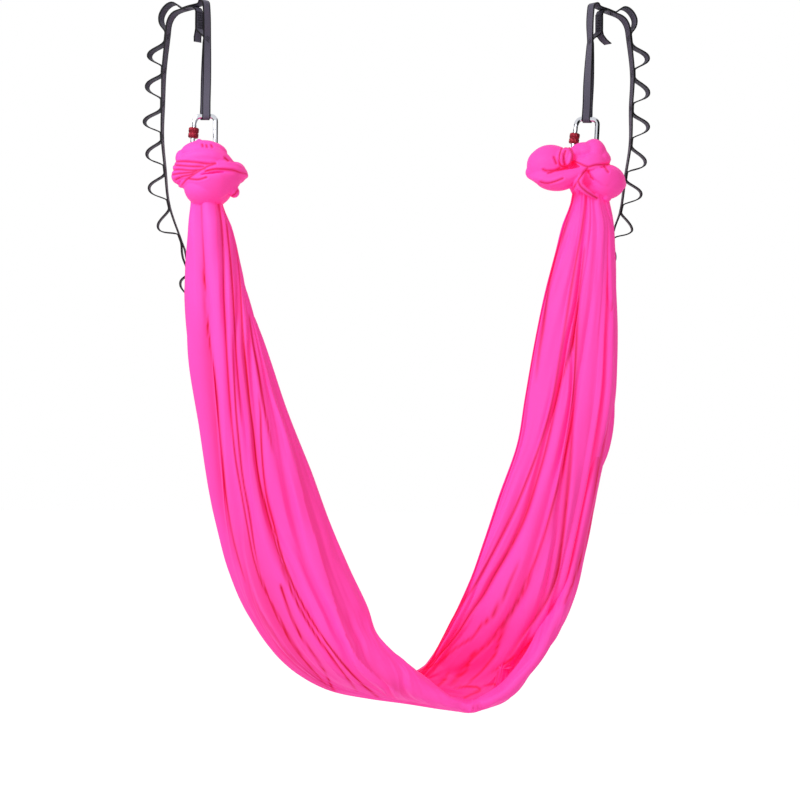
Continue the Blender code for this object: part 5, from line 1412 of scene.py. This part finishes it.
@built_once("drawn spring steel")
def spring_material(tree):
    """Drawn spring steel: darker and duller than the plating."""
    where = add_node(tree, "ShaderNodeTexCoord").outputs["Object"]
    grain = add_node(tree, "ShaderNodeTexNoise",
                     {"Vector": where, "Scale": WIRE_SCALE, "Detail": 3.0})
    return {"Base Color": hex_colour("#8B8D92"), "Metallic": 1.0,
            "Roughness": add_node(tree, "ShaderNodeMapRange",
                                  {"Value": grain, "To Min": 0.28, "To Max": 0.45})}


@built_once("red anodised aluminium")
def sleeve_material(tree):
    """Anodised aluminium: clear deep red over a fine machined grain."""
    look = bpy.context.scene.hammock_metal
    where = add_node(tree, "ShaderNodeTexCoord").outputs["Object"]
    grain = add_node(tree, "ShaderNodeTexNoise",
                     {"Vector": where, "Scale": MACHINED_SCALE, "Detail": 3.0})
    tone = add_node(tree, "ShaderNodeMix", {0: grain, 6: (*look.sleeve_shade, 1),
                                            7: (*look.sleeve, 1)}, data_type="RGBA")
    return {"Base Color": tone.outputs[2], "Metallic": 0.75, "Roughness": 0.34,
            "Normal": add_node(tree, "ShaderNodeBump",
                               {"Height": grain, "Strength": 0.12, "Distance": 0.0002})}


@built_once("pale floor")
def floor_material(tree):
    """Matt pale floor: it melts into the white surround and keeps a soft shadow."""
    path = add_node(tree, "ShaderNodeLightPath").outputs
    shown = add_node(tree, "ShaderNodeMath", {0: path["Is Camera Ray"], 1: path["Is Glossy Ray"]},
                     operation="MAXIMUM")
    return {"Base Color": hex_colour("#F2F2F2"), "Roughness": 0.9,
            "Emission Color": (1, 1, 1, 1),
            "Emission Strength": add_node(tree, "ShaderNodeMath", {0: shown, 1: FLOOR_GLOW},
                                          operation="MULTIPLY")}


@built_once("black card")
def card_material(_):
    """Matt black card: it gives the chrome its dark lines."""
    return {"Base Color": hex_colour("#0A0A0C"), "Roughness": 1.0}


def colour_property(name, text, default):
    return FloatVectorProperty(name=name, description=text, subtype="COLOR", size=3, min=0, max=1,
                               default=hex_colour(default)[:3])


class HammockCloth(bpy.types.PropertyGroup):
    stations: IntProperty(name="Stations", description="Sections along the sling", default=312,
                          min=60, max=312)
    flat_width: FloatProperty(name="Cut width", description="Width of the cloth before gathering",
                              default=1.5, unit="LENGTH")
    flat_length: FloatProperty(name="Cut length", description="Length between the knots",
                               default=2.8, unit="LENGTH")
    ridge: colour_property("Ridge", "Colour of the cloth on its ridges", "#FA56CE")
    # Painted shade: the colour that the fold attribute mixes in along folds and creases
    crease: colour_property("Crease", "Colour of the cloth in its folds", "#B00636")
    # Painted glow: the colour of the cloth's red emission, which lifts the shade in its folds
    painted_red_glow: colour_property("Glow", "Red that the dye gives back in the folds", "#FF0A3C")


class HammockWebbing(bpy.types.PropertyGroup):
    # Partly painted sheen: the face is painted a lighter grey-violet than the near-black webbing
    face: colour_property("Face", "Colour of the webbing's face", "#757082")
    rib_shade: colour_property("Rib shade", "Colour between the webbing's ribs", "#3E3A4A")
    selvedge: colour_property("Selvedge", "Colour of the webbing's edges", "#050308")
    thread: colour_property("Thread", "Colour of the bar tacks", "#0C0A12")


class HammockMetal(bpy.types.PropertyGroup):
    steel: colour_property("Steel", "Colour of the plated steel", "#CFD1D8")
    sleeve: colour_property("Sleeve", "Colour of the anodised sleeve", "#B02A40")
    sleeve_shade: colour_property("Sleeve shade", "Darker colour in the sleeve's grain", "#5A0A18")


class HammockStage(bpy.types.PropertyGroup):
    floor_drop: FloatProperty(name="Floor drop", description="Floor's depth below the hooks",
                              default=2.25, unit="LENGTH")
    key_power: FloatProperty(name="Key power", description="Power of the key lamp", default=60.0,
                             unit="POWER")
    fill_power: FloatProperty(name="Fill power", description="Power of the fill lamp",
                              default=6.0, unit="POWER")
    ambient: FloatProperty(name="Ambient", description="Strength of the even light", default=0.45)


class HAMMOCK_OT_webbing(bpy.types.Operator):
    """Make both daisy chains with their bar tacks"""
    bl_idname = "hammock.webbing"
    bl_label = "Webbing"

    def execute(self, context):
        for side in SIGNS:
            make_webbing(side + "_pocket_webbing", side + "_looped_strap", looped_layer_rows(side))
            make_webbing(side + "_backing_webbing", side + "_straight_strap",
                         straight_layer_rows(side))
            make_tacks(side)
        return {"FINISHED"}


class HAMMOCK_OT_carabiners(bpy.types.Operator):
    """Make the carabiners' sleeves and finish the frame's metal"""
    bl_idname = "hammock.carabiners"
    bl_label = "Carabiners"

    def execute(self, context):
        for side in SIGNS:
            make_sleeve(side)
            for part in ("carabiner_frame", "gate", "hinge_rivet", "latch_pin", "spring_plunger"):
                finish_node(side + "_" + part, steel_material())
            finish_node(side + "_gate_spring", spring_material())
        return {"FINISHED"}


def finish_node(name, material):
    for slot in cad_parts[name].material_slots:
        slot.material = material


class HAMMOCK_OT_cloth(bpy.types.Operator):
    """Make the gathered sling and its two knots"""
    bl_idname = "hammock.cloth"
    bl_label = "Cloth"

    def execute(self, context):
        look = context.scene.hammock_cloth
        knots = [make_knot(side) for side in SIGNS]
        points, fold = sling_points(look.stations)
        rows, count = points.shape[:2]
        mesh = bpy.data.meshes.new("sling_cloth")
        mesh.from_pydata(points.reshape(-1, 3).tolist(), [],
                         [(k, k + 1, k + count + 1, k + count) for i in range(rows - 1)
                          for k in range(i * count, (i + 1) * count - 1)])
        mesh.shade_smooth()
        # The fold attribute is painted shade along the sling's folds, which the tricot mixes in
        set_attribute(mesh, "fold", fold.ravel())
        sling = link_new("sling_cloth", mesh)
        finish_piece(sling, "hammock", "silk_sling", tricot_material())
        return {"FINISHED"}


class HAMMOCK_OT_studio(bpy.types.Operator):
    """Set the pale floor, the soft lamps, the white surround and the camera"""
    bl_idname = "hammock.studio"
    bl_label = "Studio"

    def execute(self, context):
        stage = context.scene.hammock_stage
        make_sheet("pale_floor", 12, Matrix.Translation((0, 0, -stage.floor_drop)),
                   floor_material())
        make_lamp("key_lamp", stage.key_power, 1.4, (-2.0, -2.1, 0.9))
        make_lamp("fill_lamp", stage.fill_power, 2.4, (2.6, -2.4, 0.3))
        make_card("right_card", (2.6, -0.6, -0.5), 2.4)
        make_card("left_card", (-2.7, 1.0, -0.5), 1.7)
        make_world(stage.ambient)
        camera = link_new("camera", bpy.data.cameras.new("camera"))
        camera.data.sensor_width = 36
        camera.data.lens = 60
        camera.location = EYE
        camera.rotation_euler = (radians(90), -LEAN, 0)
        context.scene.camera = camera
        context.scene.view_settings.view_transform = "Standard"
        return {"FINISHED"}


def make_sheet(name, half_size, matrix, material):
    """A square of the studio."""
    bm = bmesh.new()
    bmesh.ops.create_grid(bm, x_segments=1, y_segments=1, size=half_size)
    bm.transform(matrix)
    sheet = link_new(name, mesh_of(name, bm))
    sheet.data.materials.append(material)
    return sheet


def make_card(name, place, half_size):
    """A black card out of sight beside the hammock, for the dark lines in the chrome."""
    aim = (Vector((0, 0, place[2])) - Vector(place)).to_track_quat("Z", "Y").to_matrix().to_4x4()
    card = make_sheet(name, half_size, Matrix.Translation(place) @ aim, card_material())
    card.visible_camera = False
    card.visible_diffuse = False


def make_lamp(name, power, size, place):
    lamp = link_new(name, bpy.data.lights.new(name, "AREA"))
    lamp.data.energy = power
    lamp.data.size = size
    lamp.location = place
    aim = Vector((0, 0, EYE_Z)) - lamp.location
    lamp.rotation_euler = aim.to_track_quat("-Z", "Y").to_euler()


def make_world(ambient):
    """White for the camera and in reflections, and an even softer light for the surfaces."""
    world = bpy.data.worlds.new("white studio")
    bpy.context.scene.world = world
    world.use_nodes = True
    tree = world.node_tree
    path = add_node(tree, "ShaderNodeLightPath").outputs
    shown = path["Is Camera Ray"]
    for kind in ("Is Glossy Ray", "Is Transmission Ray"):
        shown = add_node(tree, "ShaderNodeMath", {0: shown, 1: path[kind]}, operation="MAXIMUM")
    strength = add_node(tree, "ShaderNodeMapRange", {"Value": shown, "To Min": ambient})
    fill(tree, tree.nodes["Background"], {"Color": (1, 1, 1, 1), "Strength": strength})


class HAMMOCK_PT_pieces(bpy.types.Panel):
    """Lists the hammock's pieces and their settings"""
    bl_idname = "HAMMOCK_PT_pieces"
    bl_label = "Aerial hammock"
    bl_space_type = "VIEW_3D"
    bl_region_type = "UI"
    bl_category = "Hammock"

    def draw(self, context):
        for operator in OPERATORS:
            self.layout.operator(operator.bl_idname)
        for name in GROUPS:
            group = getattr(context.scene, name)
            for label in group.bl_rna.properties.keys():
                if label not in ("rna_type", "name"):
                    self.layout.prop(group, label)


GROUPS = {"hammock_cloth": HammockCloth, "hammock_webbing": HammockWebbing,
          "hammock_metal": HammockMetal, "hammock_stage": HammockStage}
OPERATORS = (HAMMOCK_OT_webbing, HAMMOCK_OT_carabiners, HAMMOCK_OT_cloth, HAMMOCK_OT_studio)


def register():
    for cls in (*GROUPS.values(), *OPERATORS, HAMMOCK_PT_pieces):
        bpy.utils.register_class(cls)
    for name, cls in GROUPS.items():
        setattr(bpy.types.Scene, name, PointerProperty(type=cls))


def unregister():
    for name in GROUPS:
        delattr(bpy.types.Scene, name)
    for cls in reversed((*GROUPS.values(), *OPERATORS, HAMMOCK_PT_pieces)):
        bpy.utils.unregister_class(cls)


def main():
    register()
    bpy.ops.hammock.webbing()
    bpy.ops.hammock.carabiners()
    bpy.ops.hammock.cloth()
    bpy.ops.hammock.studio()


if __name__ == "__main__":
    main()
